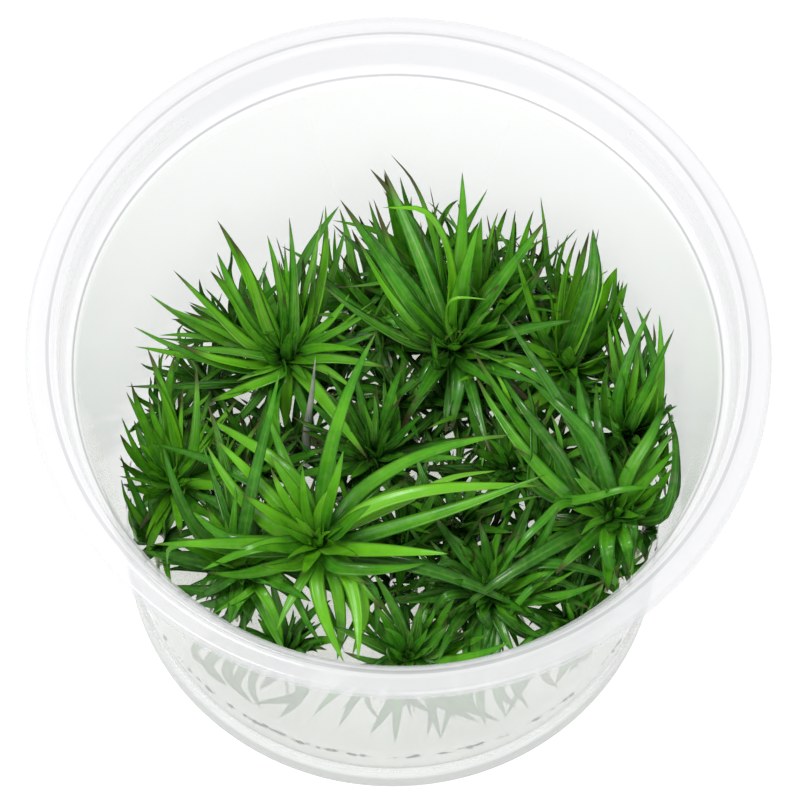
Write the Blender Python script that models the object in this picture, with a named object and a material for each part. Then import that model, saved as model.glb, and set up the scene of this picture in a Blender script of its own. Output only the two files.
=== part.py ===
# Tissue culture Eriocaulon: an open, milky clear culture cup, the gel in it and the rosettes that stand in the gel.
# Lengths below are in millimetres and are turned into metres as each mesh is made. Z is up, and the cup stands
# on z = 0 with its axis on the Z axis. The side seen in the photograph faces -Y.
import math

import bmesh
import bpy
from mathutils import Quaternion, Vector
from mathutils.bvhtree import BVHTree

MM = 0.001
GAP = 0.3  # clear space between neighbouring pieces

# Cup
ROUND_STEPS = 48
LIP_RADIUS = 50.0
CUP_HEIGHT = 68.0
LIP_TOP = 67.7
LIP_BOTTOM = 65.4
LIP_EDGE = 0.4  # rounding of the lip's outer corners
CREST_RADIUS = 46.9
LEDGE_RADIUS = 43.7
LEDGE_HEIGHT = 61.6
SHOULDER_RADIUS = 45.8  # outside of the band between ledge and lip
FOOT_RADIUS = 38.6
FOOT_HEIGHT = 6.3
GROOVE_RADIUS = 38.0
GROOVE_HEIGHT = 7.1
WALL = 0.9
FLOOR = 2.2
WALL_TOP = 61.0
WALL_SLOPE = 0.1134  # growth of the wall's radius for each millimetre of height

# Gel
GEL_TOP = 12.0

# Plantlets
CROWN_RADIUS = 2.9
CROWN_STEP = 1.25  # height between two rings of the crown
CROWN_TAPER = (0.86, 1.0, 0.92, 0.72, 0.42)  # ring radii from the lowest to the highest, as shares
ROOT_RADIUS = 1.5
ROW_ELEVATIONS = (14, 42, 68)  # degrees in which the leaves of each row start, from the outermost row
ROW_REACH = (1.0, 0.98, 0.8)  # leaf length of each row, as a share of the plantlet's reach
ROW_DROOP = (10, 12, 8)  # degrees by which a free leaf's tip hangs below its start
ARCH = 0.42  # how far along its length a leaf keeps its first direction
BLADE_SECTIONS = ((0.26, 1.0), (0.58, 0.84), (0.85, 0.44))  # place along the leaf and share of its width
SHORT_SECTIONS = ((0.3, 1.0), (0.72, 0.66))
SHORT_LEAF = 13.0
BLADE_THICKNESS = 0.42
BLADE_FOLD = 0.16  # height of the blade's edges over its midline, as a share of its width
TEST_SWELL = 0.3  # a leaf is tried this much thicker, so that it keeps clear of what is there
TIP_CEILING = 60.0
TURNS = (0, 4, -4, 8, -8, 13, -13, 19, -19)  # degrees by which a leaf may turn aside
LIFTS = (0, 1.5, -1.5, 3, -3, 5, -5, 8, -8)  # millimetres by which its tip may yield
SHORTENINGS = (1.0, 0.8, 0.62)

# Each plantlet: the middle of its crown, how the crown leans, leaves in a row, rows, free leaves' length, leaf
# width and twist in degrees, and the tips of the leaves that are seen standing out.
PLANTLETS = {
    "front_left": dict(
        crown=(-10, -15, 32), lean=(-0.1, -0.1), leaves=7, rows=3, reach=23, width=2.3, twist=10,
        tips=((-3, 6, 59), (21, -7, 42), (22, -9, 37), (8, -19, 41), (16, -3, 46), (-33, -18, 38),
              (-25, -23, 41), (-17, -9, 50), (-6, -30, 27), (-4, -31, 30), (-18, -21, 39), (5, -18, 35)),
    ),
    "rear_left": dict(
        crown=(-16, 15, 27), lean=(-0.3, 0.25), leaves=7, rows=3, reach=20, width=2.3, twist=0,
        tips=((-26, 28, 46), (-26, 25, 42), (-27, 24, 38), (-32, 22, 42), (-35, 18, 42), (-37, 13, 42),
              (-38, 7, 35), (-32, 19, 32), (-33, 14, 27), (-19, 27, 44), (-16, 29, 46), (-11, 31, 46),
              (-9, 29, 50), (-8, 30, 42), (-2, 17, 36), (-1, 18, 30), (-16, 0, 34), (-27, 9, 26)),
    ),
    "rear_middle": dict(
        crown=(8, 17, 29), lean=(-0.1, 0.15), leaves=7, rows=3, reach=20, width=2.5, twist=20,
        tips=((-5, 37, 46), (-3, 35, 50), (-5, 33, 44), (-9, 32, 46), (-14, 27, 38), (-11, 22, 44),
              (8, 37, 46), (20, 31, 44), (20, 27, 38), (11, 33, 40), (8, 6, 26), (15, 11, 24), (2, 10, 26)),
    ),
    "rear_right": dict(
        crown=(24, 16, 26), lean=(0.25, 0.3), leaves=6, rows=3, reach=17, width=2.5, twist=5,
        tips=((26, 28, 47), (30, 23, 46), (31, 22, 44), (23, 24, 46), (25, 29, 39), (16, 26, 42),
              (31, 14, 34), (32, 12, 30), (20, 23, 34)),
    ),
    "right": dict(
        crown=(33, 6, 26), lean=(0.1, 0.2), leaves=6, rows=3, reach=15, width=1.9, twist=15,
        tips=((29, 17, 42), (29, 15, 38), (30, 21, 42), (33, 19, 42), (35, 18, 44), (36, 16, 46),
              (38, 13, 48), (39, 5, 43), (39, 4, 37), (30, 15, 34)),
    ),
    "low_right": dict(
        crown=(31, -7, 27), lean=(-0.05, -0.05), leaves=6, rows=3, reach=15, width=2.3, twist=25,
        tips=((10, 12, 42), (14, 15, 47), (12, 12, 36), (37, -5, 34), (30, -21, 34), (33, -18, 34),
              (39, -3, 44), (23, 0, 32), (35, -11, 27)),
    ),
    "left_star": dict(
        crown=(-21, -16, 26), lean=(-0.15, -0.1), leaves=6, rows=3, reach=17, width=2.1, twist=0,
        tips=((-16, 1, 56), (-11, -24, 34), (-32, -5, 42), (-26, 0, 46), (-24, -24, 27), (-22, -26, 30),
              (-14, -28, 23), (-27, -21, 26)),
    ),
    "left": dict(
        crown=(-31, -3, 23), lean=(-0.1, 0.1), leaves=6, rows=3, reach=15, width=1.9, twist=12,
        tips=((-38, -8, 38), (-38, 0, 40), (-37, 5, 41), (-35, 10, 42), (-34, 11, 38), (-28, 7, 44),
              (-35, -8, 29), (-24, -11, 30)),
    ),
    "front_right": dict(
        crown=(14, -18, 24), lean=(0.1, -0.15), leaves=6, rows=3, reach=16, width=2.0, twist=8,
        tips=((23, -10, 38), (8, -17, 32), (30, -19, 34), (22, -25, 26), (28, -22, 30), (12, -10, 32),
              (18, -27, 24)),
    ),
    "middle": dict(
        crown=(-3, 2, 23), lean=(0.05, 0.1), leaves=6, rows=3, reach=15, width=1.8, twist=18,
        tips=((1, 11, 38), (-10, 10, 36), (-6, 12, 32), (-1, 12, 30), (4, -5, 26), (-9, -4, 30)),
    ),
    "middle_right": dict(
        crown=(17, 2, 22), lean=(0.0, -0.1), leaves=6, rows=3, reach=14, width=1.9, twist=3,
        tips=((20, 8, 34), (10, 7, 34), (23, 5, 30), (9, -2, 30), (21, -10, 25), (15, -8, 27)),
    ),
    "front": dict(
        crown=(3, -27, 21), lean=(0.0, -0.15), leaves=6, rows=3, reach=14, width=1.9, twist=15,
        tips=((0, -30, 33), (14, -26, 29), (-2, -24, 34), (9, -23, 35), (17, -28, 32), (-2, -36, 15),
              (6, -36, 15), (13, -34, 16), (-10, -34, 16)),
    ),
    "centre": dict(
        crown=(2, -9, 21), lean=(0.1, 0.0), leaves=6, rows=2, reach=13, width=1.9, twist=22,
        tips=((7, -15, 31), (-3, -3, 30), (10, -6, 29)),
    ),
    "inner_left": dict(
        crown=(-20, 1, 20), lean=(-0.05, 0.05), leaves=5, rows=2, reach=13, width=1.7, twist=6,
        tips=((-24, 5, 33), (-17, 5, 32), (-24, -4, 29)),
    ),
    "front_corner": dict(
        crown=(26, -21, 20), lean=(0.1, -0.1), leaves=5, rows=2, reach=12, width=1.8, twist=20,
        tips=((24, -27, 28), (32, -17, 28), (28, -25, 15), (21, -31, 17)),
    ),
    "low_left": dict(
        crown=(-14, -26, 18), lean=(-0.1, -0.1), leaves=5, rows=2, reach=12, width=1.7, twist=30,
        tips=((-6, -26, 24), (-9, -30, 23), (-22, -27, 22), (-8, -22, 30)),
    ),
    "rear": dict(
        crown=(2, 29, 20), lean=(-0.1, 0.1), leaves=5, rows=2, reach=15, width=2.0, twist=0,
        tips=((-3, 38, 43), (-10, 32, 38), (-9, 30, 33), (-7, 28, 29), (4, 35, 38), (-1, 35, 40)),
    ),
    "rear_corner": dict(
        crown=(17, 30, 19), lean=(0.1, 0.1), leaves=5, rows=2, reach=15, width=1.4, twist=14,
        tips=((13, 34, 36), (16, 35, 35), (11, 35, 34), (19, 31, 38), (22, 31, 38), (25, 29, 36),
              (10, 31, 30)),
    ),
}

# Withered blade that stands between the rosettes
WITHERED_FOOT = (-12.5, 5.5)
WITHERED_TIP = (-11.5, 9.0, 43.0)
WITHERED_WIDTH = 1.3


def wall_radius(z):
    """Outer radius of the cup's wall at height z."""
    return GROOVE_RADIUS + WALL_SLOPE * (z - GROOVE_HEIGHT)


def room_radius(z):
    """Radius that a leaf may reach at height z inside the cup."""
    return wall_radius(z) - WALL - GAP - 0.5


def cup_profile():
    """Outline of half the cup's section, from the underside's middle round the lip to the floor's middle."""
    inner_wall_top = wall_radius(WALL_TOP) - WALL
    inner_wall_foot = wall_radius(FLOOR + 1.8) - WALL
    return [
        (0, 0),
        (FOOT_RADIUS - 0.8, 0),
        (FOOT_RADIUS, 0.8),
        (FOOT_RADIUS, FOOT_HEIGHT),
        (GROOVE_RADIUS, GROOVE_HEIGHT),
        (wall_radius(WALL_TOP), WALL_TOP),
        (SHOULDER_RADIUS, LEDGE_HEIGHT + 0.7),
        (SHOULDER_RADIUS + 0.3, LIP_BOTTOM),
        (LIP_RADIUS - LIP_EDGE, LIP_BOTTOM),
        (LIP_RADIUS, LIP_BOTTOM + LIP_EDGE),
        (LIP_RADIUS, LIP_TOP - LIP_EDGE),
        (LIP_RADIUS - LIP_EDGE, LIP_TOP),
        (CREST_RADIUS + 0.7, LIP_TOP),
        (CREST_RADIUS, CUP_HEIGHT),
        (CREST_RADIUS - 0.9, CUP_HEIGHT - 0.5),
        (LEDGE_RADIUS + 1.2, LEDGE_HEIGHT + 0.7),
        (LEDGE_RADIUS, LEDGE_HEIGHT),
        (inner_wall_top, WALL_TOP - 0.1),
        (inner_wall_foot, FLOOR + 1.8),
        (inner_wall_foot - 1.1, FLOOR),
        (0, FLOOR),
    ]


def gel_profile():
    """Outline of half the gel's section: it fills the cup's bottom, a gap clear of floor and wall."""
    low = FLOOR + GAP
    foot = wall_radius(FLOOR + 1.8) - WALL - GAP
    return [
        (0, low),
        (foot - 1.1, low),
        (foot, FLOOR + 1.9),
        (wall_radius(GEL_TOP) - WALL - GAP, GEL_TOP),
        (0, GEL_TOP),
    ]


def turned(name, profile, material):
    """A closed round solid from a half section that starts and ends on the axis."""
    mesh = bmesh.new()
    rings = []
    for radius, z in profile:
        if radius == 0:
            rings.append([mesh.verts.new((0, 0, z * MM))])
            continue
        angles = [2 * math.pi * i / ROUND_STEPS for i in range(ROUND_STEPS)]
        rings.append(
            [mesh.verts.new((radius * math.cos(a) * MM, radius * math.sin(a) * MM, z * MM)) for a in angles]
        )
    for lower, upper in zip(rings, rings[1:]):
        for i in range(ROUND_STEPS):
            j = (i + 1) % ROUND_STEPS
            if len(lower) == 1:
                mesh.faces.new((lower[0], upper[j], upper[i]))
            elif len(upper) == 1:
                mesh.faces.new((lower[i], lower[j], upper[0]))
            else:
                mesh.faces.new((lower[i], lower[j], upper[j], upper[i]))
    return finished(name, mesh, material)


def finished(name, mesh, material):
    """Writes the bmesh to a named, smooth shaded object with its material."""
    data = bpy.data.meshes.new(name)
    mesh.to_mesh(data)
    mesh.free()
    data.shade_smooth()
    data.set_sharp_from_angle(angle=math.radians(35))
    data.materials.append(material)
    made = bpy.data.objects.new(name, data)
    bpy.context.scene.collection.objects.link(made)
    return made


def plain_material(name, colour, roughness, alpha=1.0):
    material = bpy.data.materials.new(name)
    material.use_nodes = True
    shader = material.node_tree.nodes["Principled BSDF"]
    shader.inputs["Base Color"].default_value = (*colour, 1)
    shader.inputs["Roughness"].default_value = roughness
    shader.inputs["Metallic"].default_value = 0
    shader.inputs["Alpha"].default_value = alpha
    material.diffuse_color = (*colour, alpha)
    return material


class Body:
    """Triangles of one piece, kept with the search tree that other pieces are tried against."""

    def __init__(self):
        self.points = []
        self.faces = []
        self.tree = None

    def add(self, points, faces):
        start = len(self.points)
        self.points.extend(points)
        self.faces.extend(tuple(start + i for i in face) for face in faces)
        self.tree = BVHTree.FromPolygons(self.points, self.faces, all_triangles=True)

    def meets(self, tree):
        return self.tree is not None and bool(self.tree.overlap(tree))


def loft_faces(ring_starts, tip):
    """Triangles that join rings of four points, one after the other, and close them in a tip."""
    faces = []
    for a, b in zip(ring_starts, ring_starts[1:]):
        for i in range(4):
            j = (i + 1) % 4
            faces.append((a + i, a + j, b + j))
            faces.append((a + i, b + j, b + i))
    last = ring_starts[-1]
    faces.extend((last + i, last + (i + 1) % 4, tip) for i in range(4))
    return faces


def blade(start, heading, tip, side_from, width, swell=0.0):
    """Rings of a leaf from its start to its tip: a shallow channel with its ridge below."""
    length = (tip - start).length
    bend = start + heading * (ARCH * length)
    sections = BLADE_SECTIONS if length > SHORT_LEAF else SHORT_SECTIONS
    rings = []
    for place, share in sections:
        middle = start.lerp(bend, place).lerp(bend.lerp(tip, place), place)
        along = (bend.lerp(tip, place) - start.lerp(bend, place)).normalized()
        side = (side_from - along * side_from.dot(along)).normalized()
        up = along.cross(side)
        half = width * share / 2 + swell
        edge = up * (2 * half * BLADE_FOLD)
        low = up * (BLADE_THICKNESS * (0.4 + 0.6 * share) + swell)
        rings.append([middle - low, middle + side * half + edge, middle + up * swell, middle - side * half + edge])
    return rings


class Plantlet:
    """One rosette: a crown of diamond faces in spiral rows, each of which may grow a leaf, on a root."""

    def __init__(self, name, crown, lean, leaves, rows, reach, width, twist, tips):
        self.name = name
        self.centre = Vector(crown)
        self.axis = Vector((*lean, 1)).normalized()
        self.leaves = leaves
        self.rows = rows
        self.reach = reach
        self.width = width
        self.twist = math.radians(twist)
        self.tips = [Vector(tip) for tip in tips]
        self.forward = (Vector((1, 0, 0)) - self.axis * self.axis.x).normalized()
        self.across = self.axis.cross(self.forward)
        self.points = []
        self.faces = []
        self.grown = {}
        self.whole = Body()
        self.outer = Body()
        self.make_crown()
        crown_faces = list(self.faces)
        for spot in self.free_faces():
            low, right, high, left = self.diamond(*spot)
            crown_faces += [(low, right, high), (low, high, left)]
        self.whole.add(self.points, crown_faces)

    def radial(self, turn):
        return self.forward * math.cos(turn) + self.across * math.sin(turn)

    def corner(self, ring, index):
        return ring * self.leaves + index % self.leaves

    def make_crown(self):
        for ring in range(self.rows + 2):
            radius = CROWN_RADIUS * CROWN_TAPER[ring + (3 - self.rows)]
            height = CROWN_STEP * (ring - 1)
            for i in range(self.leaves):
                turn = self.twist + 2 * math.pi * (i + ring / 2) / self.leaves
                self.points.append(self.centre + self.radial(turn) * radius + self.axis * height)
        self.root_start = len(self.points)
        for i in range(self.leaves):
            turn = self.twist + 2 * math.pi * i / self.leaves
            foot = Vector((self.centre.x, self.centre.y, GEL_TOP + GAP))
            self.points.append(foot + Vector((math.cos(turn), math.sin(turn), 0)) * ROOT_RADIUS)
        self.foot = len(self.points)
        self.points.append(Vector((self.centre.x, self.centre.y, GEL_TOP + GAP)))
        self.crest = len(self.points)
        self.points.append(self.centre + self.axis * (CROWN_STEP * (self.rows + 0.7)))
        for i in range(self.leaves):
            j = (i + 1) % self.leaves
            root_i = self.root_start + i
            root_j = self.root_start + j
            self.faces.append((self.foot, root_j, root_i))
            self.faces.append((root_i, root_j, self.corner(0, j)))
            self.faces.append((root_i, self.corner(0, j), self.corner(0, i)))
            self.faces.append((self.corner(0, i), self.corner(0, j), self.corner(1, i)))
            top = self.rows + 1
            self.faces.append((self.corner(top, i), self.corner(top, j), self.crest))
            self.faces.append((self.corner(top, i), self.corner(top - 1, i + 1), self.corner(top, j)))

    def diamond(self, row, index):
        """Corners of a crown face, seen from outside: bottom, one side, top and the other side."""
        low = self.corner(row, index)
        right = self.corner(row + 1, index)
        left = self.corner(row + 1, index - 1)
        high = self.corner(row + 2, index - 1)
        return [low, right, high, left]

    def face_turn(self, row, index):
        return self.twist + 2 * math.pi * (index + row / 2) / self.leaves

    def heading(self, row, index):
        rise = math.radians(ROW_ELEVATIONS[row + (3 - self.rows)])
        return self.radial(self.face_turn(row, index)) * math.cos(rise) + self.axis * math.sin(rise)

    def free_faces(self):
        spots = [(row, i) for row in range(self.rows) for i in range(self.leaves)]
        return [spot for spot in spots if spot not in self.grown]

    def nearest_face(self, tip):
        way = (tip - self.centre).normalized()
        return max(self.free_faces(), key=lambda spot: self.heading(*spot).dot(way))

    def free_tip(self, row, index):
        """Tip of a leaf that no photograph shows: it follows its row's rise, droops a little and stays in the cup."""
        place = row + (3 - self.rows)
        rise = math.radians(ROW_ELEVATIONS[place] - ROW_DROOP[place])
        length = self.reach * ROW_REACH[place] * (1 + 0.08 * math.sin(2.4 * index + row))
        out = self.radial(self.face_turn(row, index))
        return self.centre + (out * math.cos(rise) + self.axis * math.sin(rise)) * length

    def blade_at(self, spot, tip, swell=0.0):
        corners = self.diamond(*spot)
        start = sum((self.points[c] for c in corners), Vector()) / 4
        heading = self.heading(*spot)
        out = tip - self.centre
        out -= self.axis * out.dot(self.axis)
        if out.length < 2:
            out = self.radial(self.face_turn(*spot))
        side = self.axis.cross(out).normalized()
        return corners, blade(start, heading, tip, side, self.width, swell)

    def try_tip(self, spot, tip, others):
        """Whether a somewhat swollen leaf is clear of the cup, the other pieces and its own neighbours. Next to
        those it counts only from where it has left the crown."""
        corners, rings = self.blade_at(spot, tip, TEST_SWELL)
        outer = [point for ring in rings for point in ring] + [tip]
        if any(math.hypot(p.x, p.y) > room_radius(p.z) or p.z < GEL_TOP + 1 for p in outer):
            return False
        outer_faces = loft_faces(range(0, 4 * len(rings), 4), len(outer) - 1)
        if self.outer.meets(BVHTree.FromPolygons(outer, outer_faces, all_triangles=True)):
            return False
        whole = [self.points[c] for c in corners] + outer
        whole_faces = loft_faces(range(0, 4 * len(rings) + 4, 4), len(whole) - 1)
        tree = BVHTree.FromPolygons(whole, whole_faces, all_triangles=True)
        return not any(body.meets(tree) for body in others)

    def grow(self, spot, wanted, others):
        """Adds the leaf nearest to the wanted tip that is clear of everything. It may find no room."""
        for short in SHORTENINGS:
            for lift in LIFTS:
                for turn in TURNS:
                    away = wanted - self.centre
                    away.rotate(turn_about(self.axis, turn))
                    tip = kept_inside(self.centre + away * short + Vector((0, 0, lift)))
                    if self.try_tip(spot, tip, others):
                        self.add_leaf(spot, tip)
                        return True
        return False

    def add_leaf(self, spot, tip):
        corners, rings = self.blade_at(spot, tip)
        first = len(self.points)
        for ring in rings:
            self.points.extend(ring)
        self.points.append(tip)
        starts = list(range(first, first + 4 * len(rings), 4))
        faces = []
        for i in range(4):
            j = (i + 1) % 4
            faces.append((corners[i], corners[j], first + j))
            faces.append((corners[i], first + j, first + i))
        faces += loft_faces(starts, len(self.points) - 1)
        self.faces += faces
        self.grown[spot] = tip
        outer = [point for ring in rings for point in ring] + [tip]
        self.outer.add(outer, loft_faces(range(0, 4 * len(rings), 4), len(outer) - 1))
        whole = [self.points[c] for c in corners] + outer
        self.whole.add(whole, loft_faces(range(0, 4 * len(rings) + 4, 4), len(whole) - 1))

    def close_bare_faces(self):
        for spot in self.free_faces():
            low, right, high, left = self.diamond(*spot)
            self.faces.append((low, right, high))
            self.faces.append((low, high, left))

    def make(self, material):
        mesh = bmesh.new()
        verts = [mesh.verts.new(point * MM) for point in self.points]
        for face in self.faces:
            mesh.faces.new([verts[i] for i in face])
        return finished("plantlet_" + self.name, mesh, material)


def turn_about(axis, degrees):
    return Quaternion(axis, math.radians(degrees))


def kept_inside(tip):
    """The tip, moved towards the cup's axis and up where the wall is in its way, and down from the ceiling."""
    tip = tip.copy()
    tip.z = min(max(tip.z, GEL_TOP + 2.5), TIP_CEILING)
    over = math.hypot(tip.x, tip.y) - room_radius(tip.z) + 0.4
    if over > 0:
        tip.z = min(tip.z + 0.6 * over, TIP_CEILING)
        share = (room_radius(tip.z) - 0.4) / math.hypot(tip.x, tip.y)
        tip.x *= share
        tip.y *= share
    return tip


def make_withered_blade(body, material):
    """A thin dead blade with its foot on the gel."""
    foot = Vector((*WITHERED_FOOT, GEL_TOP + GAP))
    tip = Vector(WITHERED_TIP)
    side = Vector((1, 0, 0))
    rings = blade(foot, Vector((0, 0, 1)), tip, side, WITHERED_WIDTH)
    corner_ways = ((0, -0.25), (0.5, 0.1), (0, 0.1), (-0.5, 0.1))
    base = [foot + Vector((x * WITHERED_WIDTH, y * WITHERED_WIDTH, 0)) for x, y in corner_ways]
    points = base + [point for ring in rings for point in ring] + [tip]
    faces = loft_faces(range(0, 4 * (len(rings) + 1), 4), len(points) - 1)
    faces += [(0, 2, 1), (0, 3, 2)]
    body.add(points, faces)
    mesh = bmesh.new()
    verts = [mesh.verts.new(point * MM) for point in points]
    for face in faces:
        mesh.faces.new([verts[i] for i in face])
    return finished("withered_leaf", mesh, material)


def make_plantlets(withered):
    """Grows every plantlet's seen leaves first and its free ones after, each clear of all that is there."""
    plantlets = [Plantlet(name, **shape) for name, shape in PLANTLETS.items()]
    others = {p.name: [withered] + [q.whole for q in plantlets if q is not p] for p in plantlets}
    for plantlet in plantlets:
        for wanted in plantlet.tips:
            plantlet.grow(plantlet.nearest_face(wanted), wanted, others[plantlet.name])
    for plantlet in plantlets:
        for spot in plantlet.free_faces():
            plantlet.grow(spot, plantlet.free_tip(*spot), others[plantlet.name])
    for plantlet in plantlets:
        plantlet.close_bare_faces()
        plantlet.make(plain_material("leaf_green_" + plantlet.name, (0.09, 0.27, 0.035), 0.38))
        print(plantlet.name, len(plantlet.grown), "of", plantlet.leaves * plantlet.rows)


def main():
    for thing in list(bpy.data.objects):
        bpy.data.objects.remove(thing, do_unlink=True)
    turned("cup", cup_profile(), plain_material("milky_plastic", (0.93, 0.95, 0.95), 0.22, 0.3))
    turned("gel", gel_profile(), plain_material("clear_gel", (0.93, 0.94, 0.88), 0.08, 0.4))
    withered = Body()
    make_withered_blade(withered, plain_material("dead_leaf", (0.52, 0.56, 0.47), 0.6))
    make_plantlets(withered)


main()
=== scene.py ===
import math
import random

import bpy
import numpy as np
from mathutils import Matrix, Vector


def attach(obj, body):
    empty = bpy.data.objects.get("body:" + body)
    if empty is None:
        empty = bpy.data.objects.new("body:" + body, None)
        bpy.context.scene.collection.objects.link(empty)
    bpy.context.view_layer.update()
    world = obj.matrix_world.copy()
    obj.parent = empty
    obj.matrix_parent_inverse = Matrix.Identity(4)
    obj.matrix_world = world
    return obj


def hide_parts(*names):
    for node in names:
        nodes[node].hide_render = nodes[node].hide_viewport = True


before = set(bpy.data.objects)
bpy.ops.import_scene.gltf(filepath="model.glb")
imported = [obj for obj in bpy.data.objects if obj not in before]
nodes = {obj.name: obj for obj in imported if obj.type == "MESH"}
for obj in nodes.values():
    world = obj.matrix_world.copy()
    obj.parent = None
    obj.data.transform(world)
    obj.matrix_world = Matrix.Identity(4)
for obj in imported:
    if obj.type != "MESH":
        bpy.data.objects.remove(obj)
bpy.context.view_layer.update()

mm = 0.001
print("stage: frame loaded,", len(nodes), "nodes")


class Chance(random.Random):
    def draw(self, span):  # a pair is drawn between its ends, a lone number as far either way
        return self.uniform(*span) if isinstance(span, tuple) else self.uniform(-span, span)


# Shader helpers


def newMaterial(name):
    material = bpy.data.materials.new(name)
    material.use_nodes = True
    material.node_tree.nodes.clear()
    return material, material.node_tree


def feed(tree, socket, value):
    if hasattr(value, "is_linked"):
        tree.links.new(value, socket)
    else:
        socket.default_value = value


def addNode(tree, kind, settings=None, **inputs):
    node = tree.nodes.new("ShaderNode" + kind)
    for key, value in (settings or {}).items():
        setattr(node, key, value)
    for key, value in inputs.items():
        place = int(key[1:]) if key[0] == "i" and key[1:].isdigit() else key.replace("_", " ")
        feed(tree, node.inputs[place], value)
    return node


def attribute(tree, name):
    return addNode(tree, "Attribute", {"attribute_name": name}).outputs["Fac"]


def calc(tree, operation, *values):
    node = addNode(tree, "Math", {"operation": operation})
    for socket, value in zip(node.inputs, values):
        feed(tree, socket, value)
    return node.outputs[0]


def spread(tree, value, fromLow, fromHigh, toLow=0.0, toHigh=1.0, smooth=True):
    kind = {"interpolation_type": "SMOOTHSTEP" if smooth else "LINEAR"}
    ends = {"From_Min": fromLow, "From_Max": fromHigh, "To_Min": toLow, "To_Max": toHigh}
    return addNode(tree, "MapRange", kind, Value=value, **ends).outputs[0]


def mixColour(tree, share, first, second, blend="MIX"):
    node = addNode(tree, "Mix", {"data_type": "RGBA", "blend_type": blend}, i0=share)
    for place, colour in ((6, first), (7, second)):
        feed(tree, node.inputs[place], (*colour, 1) if isinstance(colour, tuple) else colour)
    return node.outputs[2]


def layered(tree, look, ground, layers):
    colour = look[ground] if isinstance(ground, str) else ground
    for share, key in layers:
        colour = mixColour(tree, share, colour, look[key])
    return colour


def objectPlace(tree):
    return addNode(tree, "TexCoord").outputs["Object"]


def placeParts(tree):
    spot = objectPlace(tree)
    flat = addNode(tree, "VectorMath", {"operation": "MULTIPLY"}, i0=spot, i1=(1, 1, 0)).outputs[0]
    radius = addNode(tree, "VectorMath", {"operation": "LENGTH"}, i0=flat).outputs["Value"]
    return radius, addNode(tree, "SeparateXYZ", None, Vector=spot).outputs[2]


def noise(tree, scale, detail, vector=None):
    vector = objectPlace(tree) if vector is None else vector
    return addNode(tree, "TexNoise", None, Scale=scale, Detail=detail, Vector=vector).outputs["Fac"]


def bumped(tree, height, strength, depth):
    return addNode(tree, "Bump", None, Strength=strength, Distance=depth, Height=height).outputs[0]


def mixShader(tree, share, first, second):
    return addNode(tree, "MixShader", None, i0=share, i1=first, i2=second).outputs[0]


def outsideShine(tree, refraction, share=1.0):
    fresnel = addNode(tree, "Fresnel", None, IOR=refraction).outputs[0]
    inside = addNode(tree, "NewGeometry").outputs["Backfacing"]
    fresnel = calc(tree, "MULTIPLY", fresnel, share)
    return calc(tree, "MULTIPLY", fresnel, calc(tree, "SUBTRACT", 1.0, inside))  # the far side of a wall adds none


def finish(tree, shader):
    addNode(tree, "OutputMaterial", None, Surface=shader)


# Mesh helpers


def meshObject(name, points, faces, material, values=None):
    mesh = bpy.data.meshes.new(name)
    mesh.from_pydata([tuple(p) for p in points], [], faces)
    for key, numbers in (values or {}).items():
        layer = mesh.attributes.new(key, "FLOAT", "POINT")
        layer.data.foreach_set("value", np.asarray(numbers, np.float32))
    mesh.materials.append(material)
    mesh.shade_smooth()
    made = bpy.data.objects.new(name, mesh)
    bpy.context.scene.collection.objects.link(made)
    return made


def place(piece, slot, *replaced):
    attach(piece, "root")
    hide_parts(*replaced)


def joinRings(faces, first, count, size, inward=False):
    for a in range(first, first + (count - 1) * size, size):
        for i in range(size):
            j = (i + 1) % size
            ring = (a + i, a + j, a + size + j, a + size + i)
            faces.append((ring[0], *ring[:0:-1]) if inward else ring)


def arcPoint(start, bend, end, share):
    return start.lerp(bend, share).lerp(bend.lerp(end, share), share)


roundingRule = {"reachShare": 0.48, "lineFade": 0.5}  # of the shorter side, and how fast an edge's painted shade line fades


def roundedOutline(corners, arcSteps):
    outline = []  # each point as radius, height and the depth of the painted shade line drawn along it
    for index, (radius, height, fillet, *line) in enumerate(corners):
        here = Vector((radius, height))
        line = line[0] if line else 0.0
        if fillet == 0 or index in (0, len(corners) - 1):
            outline.append((*here, line))
            continue
        before = Vector(corners[index - 1][:2]) - here
        after = Vector(corners[index + 1][:2]) - here
        reach = min(fillet, *(side.length * roundingRule["reachShare"] for side in (before, after)))
        first = here + before.normalized() * reach
        last = here + after.normalized() * reach
        for step in range(arcSteps + 1):
            share = step / arcSteps
            fade = (1 - abs(2 * share - 1)) ** roundingRule["lineFade"]
            outline.append((*arcPoint(first, here, last, share), line * fade))
    return outline


def turnedBody(outline, steps):
    points = []
    faces = []
    rings = []
    lines = []
    for radius, height, line in outline:
        around = steps if radius > 0 else 1
        rings.append(list(range(len(points), len(points) + around)))
        for step in range(around):
            angle = 2 * math.pi * step / steps
            points.append((radius * math.cos(angle) * mm, radius * math.sin(angle) * mm, height * mm))
        lines += [line] * around
    for lower, upper in zip(rings, rings[1:]):
        for i in range(steps):
            j = (i + 1) % steps
            if len(lower) == 1:
                faces.append((lower[0], upper[j], upper[i]))
            elif len(upper) == 1:
                faces.append((lower[i], lower[j], upper[0]))
            else:
                faces.append((lower[i], lower[j], upper[j], upper[i]))
    return points, faces, lines


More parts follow.
